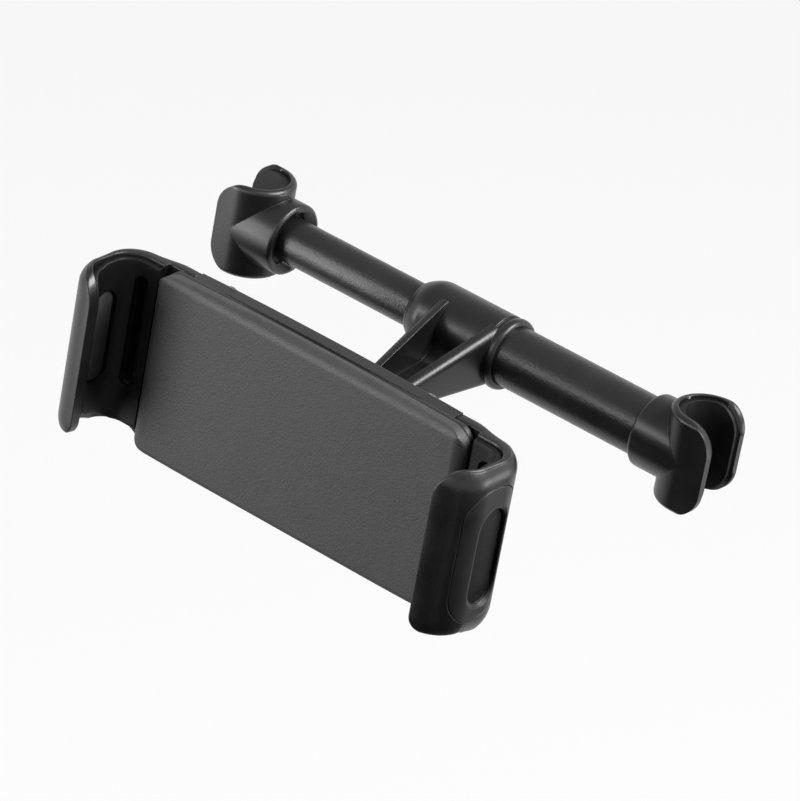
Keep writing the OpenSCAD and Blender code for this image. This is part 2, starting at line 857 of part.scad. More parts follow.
module right_jaw_spring() color("#a7a9ac")
    translate([0, spring_y, head_mid - spring_dz])
        coil_x(-tab_x, spring_wall_x, spring_r, jaw_wire_r, jaw_turns);

module left_jaw() color("#26272a") {
    mirror([1, 0, 0]) {
        jaw_shell();
        jaw_tongue(1);
    }
}

module left_jaw_liner() color("#1b1b1c") mirror([1, 0, 0]) jaw_liner_shape();

module left_jaw_cover() color("#2b2c2f") mirror([1, 0, 0]) jaw_cover_shape();

module left_jaw_spring() color("#a7a9ac")
    translate([0, spring_y, head_mid + spring_dz])
        coil_x(-spring_wall_x, tab_x, spring_r, jaw_wire_r, jaw_turns);

// Drawing

mount_bracket();
outer_tube();
mouth_bush();
tube_grub_screw();
right_hook();
right_hook_liner();
right_plug();
right_hook_screw();
inner_tube();
guide_ring();
left_hook();
left_hook_liner();
left_bush();
left_plug();
left_hook_screw();
bar_spring();
ball_seat();
lock_nut();
rear_housing();
housing_lid();
front_plate();
housing_screws();
left_jaw();
left_jaw_liner();
left_jaw_cover();
left_jaw_spring();
right_jaw();
right_jaw_liner();
right_jaw_cover();
right_jaw_spring();
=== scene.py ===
# %% [markdown]
# # A tablet holder for a car's headrest
#
# The real thing hangs behind a front seat. Two clips grip the posts of the
# headrest, a telescopic bar joins them, and a short arm in the middle carries a
# spring-loaded head that holds a tablet between two sliding jaws.
#
# The shapes come from CAD, where every length is exact. Blender's part of the
# work is how they look: the grain of moulded plastic, rubber, steel, the light
# and the camera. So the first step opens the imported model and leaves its
# objects where they are.

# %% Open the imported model
import math

import bmesh
import bpy
from mathutils import Matrix, Vector


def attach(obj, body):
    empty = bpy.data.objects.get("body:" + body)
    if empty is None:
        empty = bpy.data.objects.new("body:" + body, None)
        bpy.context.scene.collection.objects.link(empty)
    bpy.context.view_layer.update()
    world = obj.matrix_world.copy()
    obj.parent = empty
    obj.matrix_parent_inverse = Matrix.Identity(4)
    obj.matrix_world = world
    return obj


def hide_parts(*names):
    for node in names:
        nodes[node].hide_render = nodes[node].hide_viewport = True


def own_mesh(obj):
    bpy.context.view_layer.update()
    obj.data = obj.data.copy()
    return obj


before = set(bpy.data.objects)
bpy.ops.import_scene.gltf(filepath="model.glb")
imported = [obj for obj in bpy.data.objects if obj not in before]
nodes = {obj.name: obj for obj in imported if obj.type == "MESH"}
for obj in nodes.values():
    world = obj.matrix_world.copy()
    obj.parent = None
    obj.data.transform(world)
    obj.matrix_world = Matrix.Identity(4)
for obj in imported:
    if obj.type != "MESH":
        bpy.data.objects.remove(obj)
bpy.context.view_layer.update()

MM = 0.001

# %% [markdown]
# ## The camera
#
# The photograph was taken with a long lens, from the right, a little above, and
# with the picture turned so that the bar runs down to the right. A camera can be
# placed by hand, but then it never quite fits. Here its four facts are numbers:
# the way round, the height, the roll, and the distance. They came from fitting
# the corners of the CAD model to the outline in the photograph.

# %% Place the camera
VIEW_AROUND = 0.605138      # radians, 0 looks along +Y
VIEW_HEIGHT = 0.479820      # radians above the horizon
VIEW_ROLL = 0.185823        # radians, turns the picture
FOCAL_PIXELS = 5690.9       # focal length in pixels of an 800 x 801 picture
PIXELS_PER_MM = 3.98061     # size of the picture at the bar's middle
MIDDLE_PIXEL = (475.994, 337.021)   # where the bar's middle falls in the picture

back = Vector((math.sin(VIEW_AROUND) * math.cos(VIEW_HEIGHT),
               -math.cos(VIEW_AROUND) * math.cos(VIEW_HEIGHT), math.sin(VIEW_HEIGHT)))
level = Vector((math.cos(VIEW_AROUND), math.sin(VIEW_AROUND), 0))
rise = back.cross(level)
right = math.cos(VIEW_ROLL) * level + math.sin(VIEW_ROLL) * rise
up = -math.sin(VIEW_ROLL) * level + math.cos(VIEW_ROLL) * rise
shift_right = (MIDDLE_PIXEL[0] - 400) / PIXELS_PER_MM * MM
shift_up = -(MIDDLE_PIXEL[1] - 400.5) / PIXELS_PER_MM * MM
away = FOCAL_PIXELS / PIXELS_PER_MM * MM
eye = -(shift_right * right + shift_up * up) + away * back

lens = bpy.data.cameras.new("photo_camera")
lens.sensor_width = 36
lens.lens = FOCAL_PIXELS * 36 / 801
lens.clip_start, lens.clip_end = 0.05, 50
camera = bpy.data.objects.new("photo_camera", lens)
camera.matrix_world = Matrix((
    (right.x, up.x, back.x, eye.x), (right.y, up.y, back.y, eye.y),
    (right.z, up.z, back.z, eye.z), (0, 0, 0, 1)))
bpy.context.scene.collection.objects.link(camera)
bpy.context.scene.camera = camera
print("camera", round(away, 3), "m away with a", round(lens.lens), "mm lens")

# %% [markdown]
# ## Tools for node trees
#
# Every finish below is a small node tree. Wiring one by hand is slow to read, so
# two helpers keep it short: one adds a node with its values, the other links two
# sockets. A group's sockets are made through its interface, with a name, a
# starting value and a range, so that each finish can set its own grain.

# %% Helpers for node trees
def add(tree, kind, label="", **values):
    node = tree.nodes.new(kind)
    node.label = label
    for name, value in values.items():
        if hasattr(node, name):
            setattr(node, name, value)
        else:
            node.inputs[name.replace("_", " ")].default_value = value
    return node


def wire(tree, start, end):
    tree.links.new(start, end)


def group_socket(tree, name, kind, way, value=None):
    socket = tree.interface.new_socket(name=name, in_out=way, socket_type=kind)
    if value is not None:
        socket.default_value = value
    return socket


# %% [markdown]
# ## Grain of moulded plastic
#
# A steel mould for a car part is spark-eroded or etched, and the plastic copies
# its fine pits. Seen close, that is a field of tiny round bumps with slightly
# larger clouds of shinier and duller skin. It could be a picture wrapped round
# the part, but a noise in the part's own coordinates has no seams. The group
# gives a height for the bumps and a mask for the clouds. Sizes are in
# millimetres.

# %% Group for the grain
def make_grain_group():
    tree = bpy.data.node_groups.new("moulded_grain", "ShaderNodeTree")
    group_socket(tree, "Grain Size", "NodeSocketFloat", "INPUT", 0.5)
    group_socket(tree, "Cloud Size", "NodeSocketFloat", "INPUT", 12.0)
    group_socket(tree, "Height", "NodeSocketFloat", "OUTPUT")
    group_socket(tree, "Clouds", "NodeSocketFloat", "OUTPUT")
    start = add(tree, "NodeGroupInput")
    end = add(tree, "NodeGroupOutput")
    place = add(tree, "ShaderNodeTexCoord")
    fine_scale = add(tree, "ShaderNodeMath", "bumps per metre", operation="DIVIDE")
    fine_scale.inputs[0].default_value = 1 / MM
    wire(tree, start.outputs["Grain Size"], fine_scale.inputs[1])
    fine = add(tree, "ShaderNodeTexNoise", "pits", Detail=2.0, Roughness=0.55)
    wire(tree, place.outputs["Object"], fine.inputs["Vector"])
    wire(tree, fine_scale.outputs[0], fine.inputs["Scale"])
    wire(tree, fine.outputs["Fac"], end.inputs["Height"])
    cloud_scale = add(tree, "ShaderNodeMath", "clouds per metre", operation="DIVIDE")
    cloud_scale.inputs[0].default_value = 1 / MM
    wire(tree, start.outputs["Cloud Size"], cloud_scale.inputs[1])
    cloud = add(tree, "ShaderNodeTexNoise", "clouds", Detail=4.0, Roughness=0.6)
    wire(tree, place.outputs["Object"], cloud.inputs["Vector"])
    wire(tree, cloud_scale.outputs[0], cloud.inputs["Scale"])
    spread = add(tree, "ShaderNodeMapRange", "spread")
    for name, value in (("From Min", 0.3), ("From Max", 0.7)):
        spread.inputs[name].default_value = value
    wire(tree, cloud.outputs["Fac"], spread.inputs["Value"])
    wire(tree, spread.outputs["Result"], end.inputs["Clouds"])
    return tree


grain_group = make_grain_group()
print("group", grain_group.name, "with", len(grain_group.nodes), "nodes")

# %% [markdown]
# ## Soft edges, with a painted highlight along them
#
# No moulded edge is a knife edge. It is rounded by some tenths of a millimetre,
# and it catches a thin line of light, which is half of what makes plastic look
# real. The CAD keeps small edges sharp, so a Bevel node rounds them in the
# shading alone. Where the rounded normal differs from the true one there is an
# edge, and this gives a mask too, for a painted highlight: a lighter base colour
# along the edges.

# %% Group for the edges
def make_edge_group():
    tree = bpy.data.node_groups.new("soft_edges", "ShaderNodeTree")
    group_socket(tree, "Radius", "NodeSocketFloat", "INPUT", 0.4)
    group_socket(tree, "Normal", "NodeSocketVector", "OUTPUT")
    group_socket(tree, "Edges", "NodeSocketFloat", "OUTPUT")
    start = add(tree, "NodeGroupInput")
    end = add(tree, "NodeGroupOutput")
    radius = add(tree, "ShaderNodeMath", "millimetres", operation="MULTIPLY")
    radius.inputs[1].default_value = MM
    wire(tree, start.outputs["Radius"], radius.inputs[0])
    bevel = add(tree, "ShaderNodeBevel", samples=6)
    wire(tree, radius.outputs[0], bevel.inputs["Radius"])
    true = add(tree, "ShaderNodeNewGeometry")
    same = add(tree, "ShaderNodeVectorMath", operation="DOT_PRODUCT")
    wire(tree, bevel.outputs["Normal"], same.inputs[0])
    wire(tree, true.outputs["Normal"], same.inputs[1])
    edge = add(tree, "ShaderNodeMapRange", "edge")
    for name, value in (("From Min", 1.0), ("From Max", 0.8)):
        edge.inputs[name].default_value = value
    wire(tree, same.outputs["Value"], edge.inputs["Value"])
    wire(tree, bevel.outputs["Normal"], end.inputs["Normal"])
    wire(tree, edge.outputs["Result"], end.inputs["Edges"])
    return tree


edge_group = make_edge_group()
print("group", edge_group.name, "with", len(edge_group.nodes), "nodes")

# %% [markdown]
# ## A finish from both groups
#
# One function makes every plastic and rubber finish on the holder, because they
# differ in numbers and not in kind: the colour of the skin and of its clouds,
# how dull it is, and how coarse its grain is. What is the same all over, such as
# the specular level, is set on the shader's own socket.

# %% A function for the moulded finishes
def grey(level):
    """Linear value of an even grey that is written from 0 to 255."""
    v = level / 255
    return v / 12.92 if v <= 0.04045 else ((v + 0.055) / 1.055) ** 2.4


def moulded(name, low, high, rough, grain, depth, clouds=12.0, edge=0.4, shine=0.5, tint=(1, 1, 1.03)):
    material = bpy.data.materials.new(name)
    material.use_nodes = True
    tree = material.node_tree
    tree.nodes.clear()
    skin = add(tree, "ShaderNodeBsdfPrincipled")
    skin.inputs["Specular IOR Level"].default_value = shine
    out = add(tree, "ShaderNodeOutputMaterial")
    wire(tree, skin.outputs[0], out.inputs["Surface"])
    pits = add(tree, "ShaderNodeGroup", node_tree=grain_group)
    pits.inputs["Grain Size"].default_value = grain
    pits.inputs["Cloud Size"].default_value = clouds
    soft = add(tree, "ShaderNodeGroup", node_tree=edge_group)
    soft.inputs["Radius"].default_value = edge
    colour = add(tree, "ShaderNodeMix", "skin and clouds", data_type="RGBA")
    colour.inputs["A"].default_value = (*[grey(low) * t for t in tint], 1)
    colour.inputs["B"].default_value = (*[grey(high) * t for t in tint], 1)
    wire(tree, pits.outputs["Clouds"], colour.inputs["Factor"])
    # Painted highlight: along the edges the base colour is mixed up to halfway towards a grey 14 levels lighter
    # than the clouds.
    edge_highlight_paint = add(tree, "ShaderNodeMix", "painted edge highlight", data_type="RGBA")
    edge_highlight_paint.inputs["B"].default_value = (*[grey(high + 14) * t for t in tint], 1)
    part = add(tree, "ShaderNodeMath", "how much", operation="MULTIPLY")
    part.inputs[1].default_value = 0.5
    wire(tree, soft.outputs["Edges"], part.inputs[0])
    wire(tree, part.outputs[0], edge_highlight_paint.inputs["Factor"])
    wire(tree, colour.outputs["Result"], edge_highlight_paint.inputs["A"])
    wire(tree, edge_highlight_paint.outputs["Result"], skin.inputs["Base Color"])
    dull = add(tree, "ShaderNodeMapRange", "dull and shiny clouds")
    dull.inputs["To Min"].default_value = rough - 0.04
    dull.inputs["To Max"].default_value = rough + 0.05
    wire(tree, pits.outputs["Clouds"], dull.inputs["Value"])
    wire(tree, dull.outputs["Result"], skin.inputs["Roughness"])
    bump = add(tree, "ShaderNodeBump", "pits", Strength=1.0, Distance=depth * MM)
    wire(tree, pits.outputs["Height"], bump.inputs["Height"])
    wire(tree, soft.outputs["Normal"], bump.inputs["Normal"])
    wire(tree, bump.outputs["Normal"], skin.inputs["Normal"])
    return material


body_plastic = moulded("body_plastic", 20, 26, 0.33, 0.55, 0.02)
tube_plastic = moulded("tube_plastic", 26, 32, 0.33, 0.70, 0.07)
plate_plastic = moulded("plate_plastic", 57, 65, 0.50, 0.45, 0.06, clouds=9, edge=0.9)
cover_plastic = moulded("cover_plastic", 20, 26, 0.40, 0.45, 0.02, edge=0.7)
liner_rubber = moulded("liner_rubber", 9, 13, 0.55, 0.35, 0.02, clouds=7, edge=0.3, shine=0.25)
pad_rubber = moulded("pad_rubber", 58, 70, 0.6, 0.35, 0.02, clouds=7, edge=0.3, shine=0.3)
nut_plastic = moulded("nut_plastic", 20, 26, 0.38, 0.50, 0.02)
print("finishes", [m.name for m in bpy.data.materials])

# %% [markdown]
# ## Steel
#
# The springs and screws are plated steel. A metal has no colour under its skin,
# so the base colour is the colour of its reflection. Drawn wire and rolled
# heads carry fine streaks, which a stretched noise gives to the roughness.

# %% Steel
def steel(name, level, rough):
    material = bpy.data.materials.new(name)
    material.use_nodes = True
    tree = material.node_tree
    tree.nodes.clear()
    skin = add(tree, "ShaderNodeBsdfPrincipled", Metallic=1.0)
    out = add(tree, "ShaderNodeOutputMaterial")
    wire(tree, skin.outputs[0], out.inputs["Surface"])
    pits = add(tree, "ShaderNodeGroup", node_tree=grain_group)
    pits.inputs["Grain Size"].default_value = 0.25
    pits.inputs["Cloud Size"].default_value = 2.5
    colour = add(tree, "ShaderNodeMix", "plating", data_type="RGBA")
    colour.inputs["A"].default_value = (grey(level - 14), grey(level - 14), grey(level - 11), 1)
    colour.inputs["B"].default_value = (grey(level), grey(level), grey(level + 3), 1)
    wire(tree, pits.outputs["Clouds"], colour.inputs["Factor"])
    wire(tree, colour.outputs["Result"], skin.inputs["Base Color"])
    dull = add(tree, "ShaderNodeMapRange", "streaks")
    dull.inputs["To Min"].default_value = rough - 0.06
    dull.inputs["To Max"].default_value = rough + 0.08
    wire(tree, pits.outputs["Height"], dull.inputs["Value"])
    wire(tree, dull.outputs["Result"], skin.inputs["Roughness"])
    return material


spring_steel = steel("spring_steel", 176, 0.32)
screw_steel = steel("screw_steel", 150, 0.38)
print("steels", spring_steel.name, screw_steel.name)

# %% [markdown]
# ## Which node wears which finish
#
# The CAD nodes stay as they are and only take a new material in their slots.
# The mesh comes as loose triangles with its own normals, so nothing is merged
# or smoothed here.

# %% Dress the CAD nodes
FINISH = {
    "body": (body_plastic, ["mount_bracket", "right_hook", "left_hook", "right_plug", "left_plug",
                            "mouth_bush", "left_bush", "rear_housing", "right_jaw", "left_jaw"]),
    "tube": (tube_plastic, ["outer_tube", "inner_tube", "guide_ring", "ball_seat"]),
    "plate": (plate_plastic, ["front_plate"]),
    "lid": (cover_plastic, ["housing_lid", "right_jaw_cover", "left_jaw_cover"]),
    "rubber": (liner_rubber, ["right_hook_liner", "left_hook_liner", "right_jaw_liner", "left_jaw_liner"]),
    "nut": (nut_plastic, ["lock_nut"]),
    "spring": (spring_steel, ["bar_spring", "right_jaw_spring", "left_jaw_spring"]),
    "screw": (screw_steel, ["tube_grub_screw", "right_hook_screw", "left_hook_screw", "housing_screws"]),
}
for finish, (material, names) in FINISH.items():
    for name in names:
        slots = nodes[name].data.materials
        slots.clear()
        slots.append(material)
dressed = {name for _, names in FINISH.values() for name in names}
print("dressed", len(dressed), "nodes, left out:", sorted(set(nodes) - dressed))

# %% [markdown]
# ## Tools for solid pieces
#
# Some visible forms are finer than the CAD solids: the rim of the jaws, the
# arm's ribs and the collars of the hooks. They are rebuilt here on the same
# sizes. Three simple makers are enough, a prism, a turned solid and a loft, and
# a boolean joins or cuts them. Modelling by hand would work as well, but then no
# size would be written down anywhere.

# %% Makers for solids, in millimetres
SLIVER = 0.003      # points closer than this are one point


def as_object(form, name):
    bmesh.ops.recalc_face_normals(form, faces=form.faces)
    mesh = bpy.data.meshes.new(name)
    form.to_mesh(mesh)
    form.free()
    piece = bpy.data.objects.new(name, mesh)
    bpy.context.scene.collection.objects.link(piece)
    return piece


def axis_point(way, along, a, b):
    """A point from its place along an axis and its two other coordinates."""
    return Vector({"x": (along, a, b), "y": (a, along, b), "z": (a, b, along)}[way]) * MM


def prism(outline, low, high, way):
    form = bmesh.new()
    rings = [[form.verts.new(axis_point(way, along, a, b)) for a, b in outline] for along in (low, high)]
    form.faces.new(rings[0])
    form.faces.new(rings[1])
    for i in range(len(outline)):
        j = (i + 1) % len(outline)
        form.faces.new((rings[0][i], rings[0][j], rings[1][j], rings[1][i]))
    return as_object(form, "prism")


def turned(profile, way, centre=(0, 0), steps=96):
    """Closed ring of (place along the axis, radius) turned about the axis."""
    form = bmesh.new()
    rings = []
    for k in range(steps):
        angle = 2 * math.pi * k / steps
        rings.append([form.verts.new(axis_point(
            way, along, centre[0] + r * math.cos(angle), centre[1] + r * math.sin(angle)))
            for along, r in profile])
    for k in range(steps):
        here, there = rings[k], rings[(k + 1) % steps]
        for i in range(len(profile)):
            j = (i + 1) % len(profile)
            form.faces.new((here[i], here[j], there[j], there[i]))
    return as_object(form, "turned")


def rod(way, low, high, r, centre=(0, 0), steps=96):
    circle = [(centre[0] + r * math.cos(2 * math.pi * k / steps),
               centre[1] + r * math.sin(2 * math.pi * k / steps)) for k in range(steps)]
    return prism(circle, low, high, way)


def loft(rings):
    """Closed skin over rings of as many points each, with a cap at both ends."""
    form = bmesh.new()
    rows = [[form.verts.new(Vector(p) * MM) for p in ring] for ring in rings]
    for here, there in zip(rows, rows[1:]):
        for i in range(len(here)):
            j = (i + 1) % len(here)
            form.faces.new((here[i], here[j], there[j], there[i]))
    form.faces.new(rows[0])
    form.faces.new(rows[-1])
    return as_object(form, "loft")


def carve(piece, tool, operation="DIFFERENCE"):
    """Applies one boolean and takes the tool away."""
    step = piece.modifiers.new("step", "BOOLEAN")
    step.operation, step.solver, step.object = operation, "EXACT", tool
    shaped = bpy.data.meshes.new_from_object(piece.evaluated_get(bpy.context.evaluated_depsgraph_get()))
    piece.modifiers.remove(step)
    piece.data = shaped
    bpy.data.objects.remove(tool)
    return piece


def softened(piece, width, angle=40, steps=3):
    """Rounds every edge sharper than the angle, by a width in millimetres."""
    step = piece.modifiers.new("soften", "BEVEL")
    step.width, step.segments, step.limit_method = width * MM, steps, "ANGLE"
    step.angle_limit = math.radians(angle)
    shaped = bpy.data.meshes.new_from_object(piece.evaluated_get(bpy.context.evaluated_depsgraph_get()))
    piece.modifiers.remove(step)
    piece.data = shaped
    return piece


def finished(piece, name, material, sharp=32):
    """Name, finish and smooth shading with crisp edges, after slivers are merged away."""
    form = bmesh.new()
    form.from_mesh(piece.data)
    bmesh.ops.remove_doubles(form, verts=form.verts, dist=SLIVER * MM)
    bmesh.ops.dissolve_degenerate(form, edges=form.edges, dist=SLIVER * MM)
    form.to_mesh(piece.data)
    form.free()
    piece.name = piece.data.name = name
    piece.data.materials.clear()
    piece.data.materials.append(material)
    piece.data.shade_smooth()
    piece.data.set_sharp_from_angle(angle=math.radians(sharp))
    low = [round(min(v.co[i] for v in piece.data.vertices) / MM, 1) for i in range(3)]
    high = [round(max(v.co[i] for v in piece.data.vertices) / MM, 1) for i in range(3)]
    print(name, len(piece.data.polygons), "faces from", low, "to", high)
    return piece


def box_between(low, high):
    outline = [(low[0], low[1]), (high[0], low[1]), (high[0], high[1]), (low[0], high[1])]
    return prism(outline, low[2], high[2], "z")


def upright_oval(a, low, high, r, steps=16):
    """Outline of an upright slot with round ends."""
    ends = ((high - r, 0), (low + r, math.pi))
    return [(a + r * math.cos(start + math.pi * k / steps), level + r * math.sin(start + math.pi * k / steps))
            for level, start in ends for k in range(steps + 1)]


def rounded_outline(low, high, r, steps=10):
    corners = ((high[0] - r, high[1] - r, 0), (low[0] + r, high[1] - r, 90),
               (low[0] + r, low[1] + r, 180), (high[0] - r, low[1] + r, 270))
    return [(x + r * math.cos(math.radians(start + 90 * k / steps)),
             y + r * math.sin(math.radians(start + 90 * k / steps)))
            for x, y, start in corners for k in range(steps + 1)]


# %% [markdown]
# ## The jaws
#
# Each jaw is a deep moulded hook, seen from above like a letter J: a lip in
# front, a round side, and a back that slides in the housing. Its wall is the
# same all the way, so a loft suits it: a thin upright section is carried round
# the path, and its top and bottom follow the sweep of the side view. The CAD
# solid has the same sizes, but its thick back stops short of the rim. In the
# photograph the rim is one broad band there, so the loft carries it to the top.

# %% Sizes of a jaw
SIDE, BACK, FRONT, CORNER = 64.3, -61.0, -87.0, 9.5
WALL, FLOOR, RIM_TOP, KEEL_LOW = 3.0, 1.8, 16.5, -32.7
LIP_EDGE, LIP_LOW = 54.8, -28.0
CENTRE = SIDE - CORNER
FLOOR_EDGE, BACK_END = 50.2, 42.0


def shoulder_depth(z):
    """How far the outer face stands back at a height, at full rounding."""
    top, bottom = 12.0, -24.7
    if z > top:
        return 6 - math.sqrt(max(0, 36 - (z - top) ** 2))
    if z < bottom:
        return 8 - math.sqrt(max(0, 64 - (bottom - z) ** 2))
    return 0.0


def shoulder_foot(share):
    """Lowest height at which the rounded outer face still leaves some wall."""
    kept = (WALL - 0.8) / max(share, 0.01)
    return KEEL_LOW if kept >= 8 else -24.7 - math.sqrt(64 - (8 - kept) ** 2)


def swept_low(y, drop=0.0):
    """Lowest height of the wall at a depth, from the side view's curve."""
    return max(KEEL_LOW - 1 + 2.4 * drop if drop else KEEL_LOW,
               -67.4 + drop + math.sqrt(39 ** 2 - (y + 82) ** 2))


def lip_high(x, edge, crest, r=8.0):
    across = max(0.0, min(r, edge + r - x))
    return crest - r + math.sqrt(r * r - across * across)


def lip_low(x, edge, foot, r=3.5):
    across = max(0.0, min(r, edge + r - x))
    return foot + r - math.sqrt(r * r - across * across)


def jaw_path(outer_r, inner_r, front_from, back_to, inner_back, outer_back):
    """Stations of (outer point, inner point) from the lip round to the back."""
    stations = []
    for k in range(29):
        angle = front_from + (0 - front_from) * (k / 28) ** 1.5
        turn = Vector((math.cos(math.radians(angle)), math.sin(math.radians(angle))))
        middle = Vector((CENTRE, FRONT + CORNER))
        stations.append((middle + outer_r * turn, middle + inner_r * turn))
    outer_mid = Vector((CENTRE, outer_back - outer_r))
    inner_mid = Vector((CENTRE, inner_back - inner_r))
    for k in range(1, 4):
        a, b = stations[28]
        stations.append((a.lerp(outer_mid + Vector((outer_r, 0)), k / 4),
                         b.lerp(inner_mid + Vector((inner_r, 0)), k / 4)))
    for k in range(25):
        angle = math.radians(90 * k / 24)
        turn = Vector((math.cos(angle), math.sin(angle)))
        stations.append((outer_mid + outer_r * turn, inner_mid + inner_r * turn))
    stations += [(Vector((x, outer_back)), Vector((x, inner_back))) for x in back_to]
    return stations


def wall_section(a, b, top, foot, depth_of, share, soft, inset=0.0):
    """Ring of points of one upright section between two plan points."""
    way = (b - a).normalized()
    thick = (b - a).length - inset
    top, foot = top - inset, foot + inset
    ring = []

    def put(depth, z):
        at = a + way * depth
        ring.append((at.x, at.y, z))
    span = top - foot - 2 * soft
    for k in range(41):
        z = foot + soft + span * k / 40
        put(depth_of(z) * share + inset, z)
    for k in range(1, 5):
        turn = math.radians(90 * k / 4)
        put(depth_of(top) * share + inset + soft * (1 - math.cos(turn)), top - soft + soft * math.sin(turn))
    for k in range(4):
        turn = math.radians(90 * k / 4)
        put(thick - soft * (1 - math.sin(turn)), top - soft + soft * math.cos(turn))
    for k in range(41):
        put(thick, top - soft - span * k / 40)
    for k in range(1, 5):
        turn = math.radians(90 * k / 4)
        put(thick - soft * (1 - math.cos(turn)), foot + soft - soft * math.sin(turn))
    for k in range(4):
        turn = math.radians(90 * k / 4)
        put(depth_of(foot) * share + inset + soft * (1 - math.sin(turn)), foot + soft - soft * math.cos(turn))
    return ring


# %% Loft of the shell and of the rubber
def mirrored(piece):
    for v in piece.data.vertices:
        v.co.x = -v.co.x
    piece.data.flip_normals()
    return piece


def fade(x):
    """The shoulder's rounding runs out along the back of the jaw."""
    t = max(0.0, min(1.0, (x - 46) / 10))
    return t * t * (3 - 2 * t)


def jaw_shell():
    run = [53.5, 52.2, 51.2, FLOOR_EDGE]
    stations = jaw_path(CORNER, CORNER - WALL, -90, run, BACK - WALL - FLOOR, BACK)
    stations += [(Vector((x, BACK)), Vector((x, BACK - WALL)))
                 for x in [50.1, 49, 48, 47, 46, 45, 44, 43, BACK_END]]
    rings = []
    for number, (a, b) in enumerate(stations):
        top, foot = RIM_TOP, swept_low(a.y)
        if number < 29:
            top = lip_high(a.x, LIP_EDGE, RIM_TOP)
            foot = max(foot, lip_low(a.x, LIP_EDGE, LIP_LOW))
        share = fade(a.x) if number > 31 else 1.0
        foot = max(foot, shoulder_foot(share))
        if number == 0:
            for step in (60, 30):
                inset = 0.4 * (1 - math.cos(math.radians(step)))
                rings.append(wall_section(a, b, top, foot, shoulder_depth, share, 0.35, inset))
        rings.append(wall_section(a, b, top, foot, shoulder_depth, share, 0.4))
    return loft(rings)


def jaw_with_cuts(side):
    """side is 1 for the tongue in the upper place and -1 for the lower one."""
    shell = jaw_shell()
    pocket = prism(rounded_outline((-83.25, -25.05), (-65.15, 11.25), 7.75), 50, 80, "x")
    core = prism(rounded_outline((20, FRONT + 1.2), (SIDE - 1.2, BACK - 1.2), CORNER - 1.2), -60, 60, "z")
    carve(shell, carve(pocket, core))
    carve(shell, prism(upright_oval(-72.4, -21.5, 4.5, 5), SIDE - 2.1, SIDE + 5, "x"))
    carve(shell, prism(upright_oval(55.1, -19.5, 11.5, 2.1), -67, -62.6, "y"))
    low = -8.05 + (1.5 if side > 0 else -15.6)
    tongue = box_between((-35.2, -64, low), (BACK_END + 0.7, -61.4, low + 14.1))
    tab = box_between((-35.2, -64, -8.05 + side * 8.5 - 2.6), (-33, -56.4, -8.05 + side * 8.5 + 2.6))
    carve(tongue, tab, "UNION")
    return carve(shell, tongue, "UNION")


# %% Shells, rubbers and pads on both clamps
def jaw_rubber():
    """Liner inside the wall, with its top close under the rim."""
    inner = CORNER - WALL - 0.03
    run = [53.5, 52.2, 51.2, 50.4]
    stations = jaw_path(inner, inner - 1.55, -79, run, BACK - WALL - FLOOR - 1.58, BACK - WALL - FLOOR - 0.03)
    rings = []
    for number, (a, b) in enumerate(stations):
        top, foot = RIM_TOP - 0.9, swept_low(a.y, 1.7)
        if number < 29:
            top = min(top, lip_high(a.x, LIP_EDGE + 1.2, RIM_TOP - 1.2))
            foot = max(foot, lip_low(a.x, LIP_EDGE + 1.2, LIP_LOW + 1.7))
        rings.append(wall_section(a, b, top, foot, lambda z: 0.0, 0.0, 0.45))
    rubber = loft(rings)
    carve(rubber, prism(upright_oval(-74.6, -18.5, 7.5, 3.9), SIDE - 8, SIDE, "x"))
    return carve(rubber, prism(upright_oval(55.1, -19.5, 11.5, 2.1), -70, -60, "y"))


def grip_pad():
    """Low pad that stands in the rubber's side window."""
    pad = prism(upright_oval(-74.6, -18.2, 7.2, 3.6), SIDE - WALL - 0.9, SIDE - WALL + 0.3, "x")
    return softened(pad, 0.35)


def recess_shade_inlay():
    """Thin dark sheet on the floor of the oval recess outside: painted shade that makes the recess darker."""
    shade_inlay = prism(upright_oval(-72.4, -21.2, 4.2, 4.7), SIDE - 2.3, SIDE - 1.7, "x")
    return softened(shade_inlay, 0.2)


for side, name, body in ((-1, "right", "right_clamp"), (1, "left", "left_clamp")):
    turn = mirrored if name == "left" else (lambda piece: piece)
    shell = finished(turn(jaw_with_cuts(side)), name + "_jaw_shell", body_plastic)
    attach(shell, body)
    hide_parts(name + "_jaw")
    rubber = finished(turn(jaw_rubber()), name + "_jaw_rubber", liner_rubber)
    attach(rubber, body)
    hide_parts(name + "_jaw_liner")
    pad = finished(turn(grip_pad()), name + "_jaw_pad", pad_rubber)
    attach(pad, body)
    # Painted shade: a dark rubber sheet on the floor of the outer oval recess makes that recess darker.
    shade_inlay = finished(turn(recess_shade_inlay()), name + "_jaw_recess_shade", liner_rubber)
    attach(shade_inlay, body)

# %% [markdown]
# ## The bracket in the middle
#
# Hub, arm and ball are one moulding. The hub is a sleeve with a bead at its
# right end and a long taper at its left end, so it is turned. The arm is two
# upright ribs on a floor, and between them the sleeve runs down to the floor in
# a hollow fillet. Cut from one block it would lose that fillet, so the arm is a
# beam with a pocket, and the sleeve and the fillet are joined to it.

# %% Hub, arm and ball
HUB_R, BORE_R, ARM_FLOOR_Z = 9.45, 8.0, -5.7


def hub_sleeve():
    inner = BORE_R
    taper = [(-17.9 + 5.5 * t, 7.3 + (HUB_R - 7.3) * math.sin(math.pi / 2 * t) ** 0.9)
             for t in [k / 10 for k in range(11)]]
    bead = [(10.5 + 1.55 * math.cos(math.radians(a)), HUB_R - 0.75 + 0.9 * math.sin(math.radians(a)))
            for a in range(160, -1, -20)]
    profile = [(-17.9, 6.4)] + taper + [(8.2, HUB_R), (8.35, HUB_R - 0.15), (8.35, HUB_R - 0.5),
                                       (8.75, HUB_R - 0.5)] + bead + [(12.0, HUB_R - 1.0), (12.0, inner),
                                                                      (-16.9, inner), (-16.9, 6.4)]
    return turned(profile, "x")


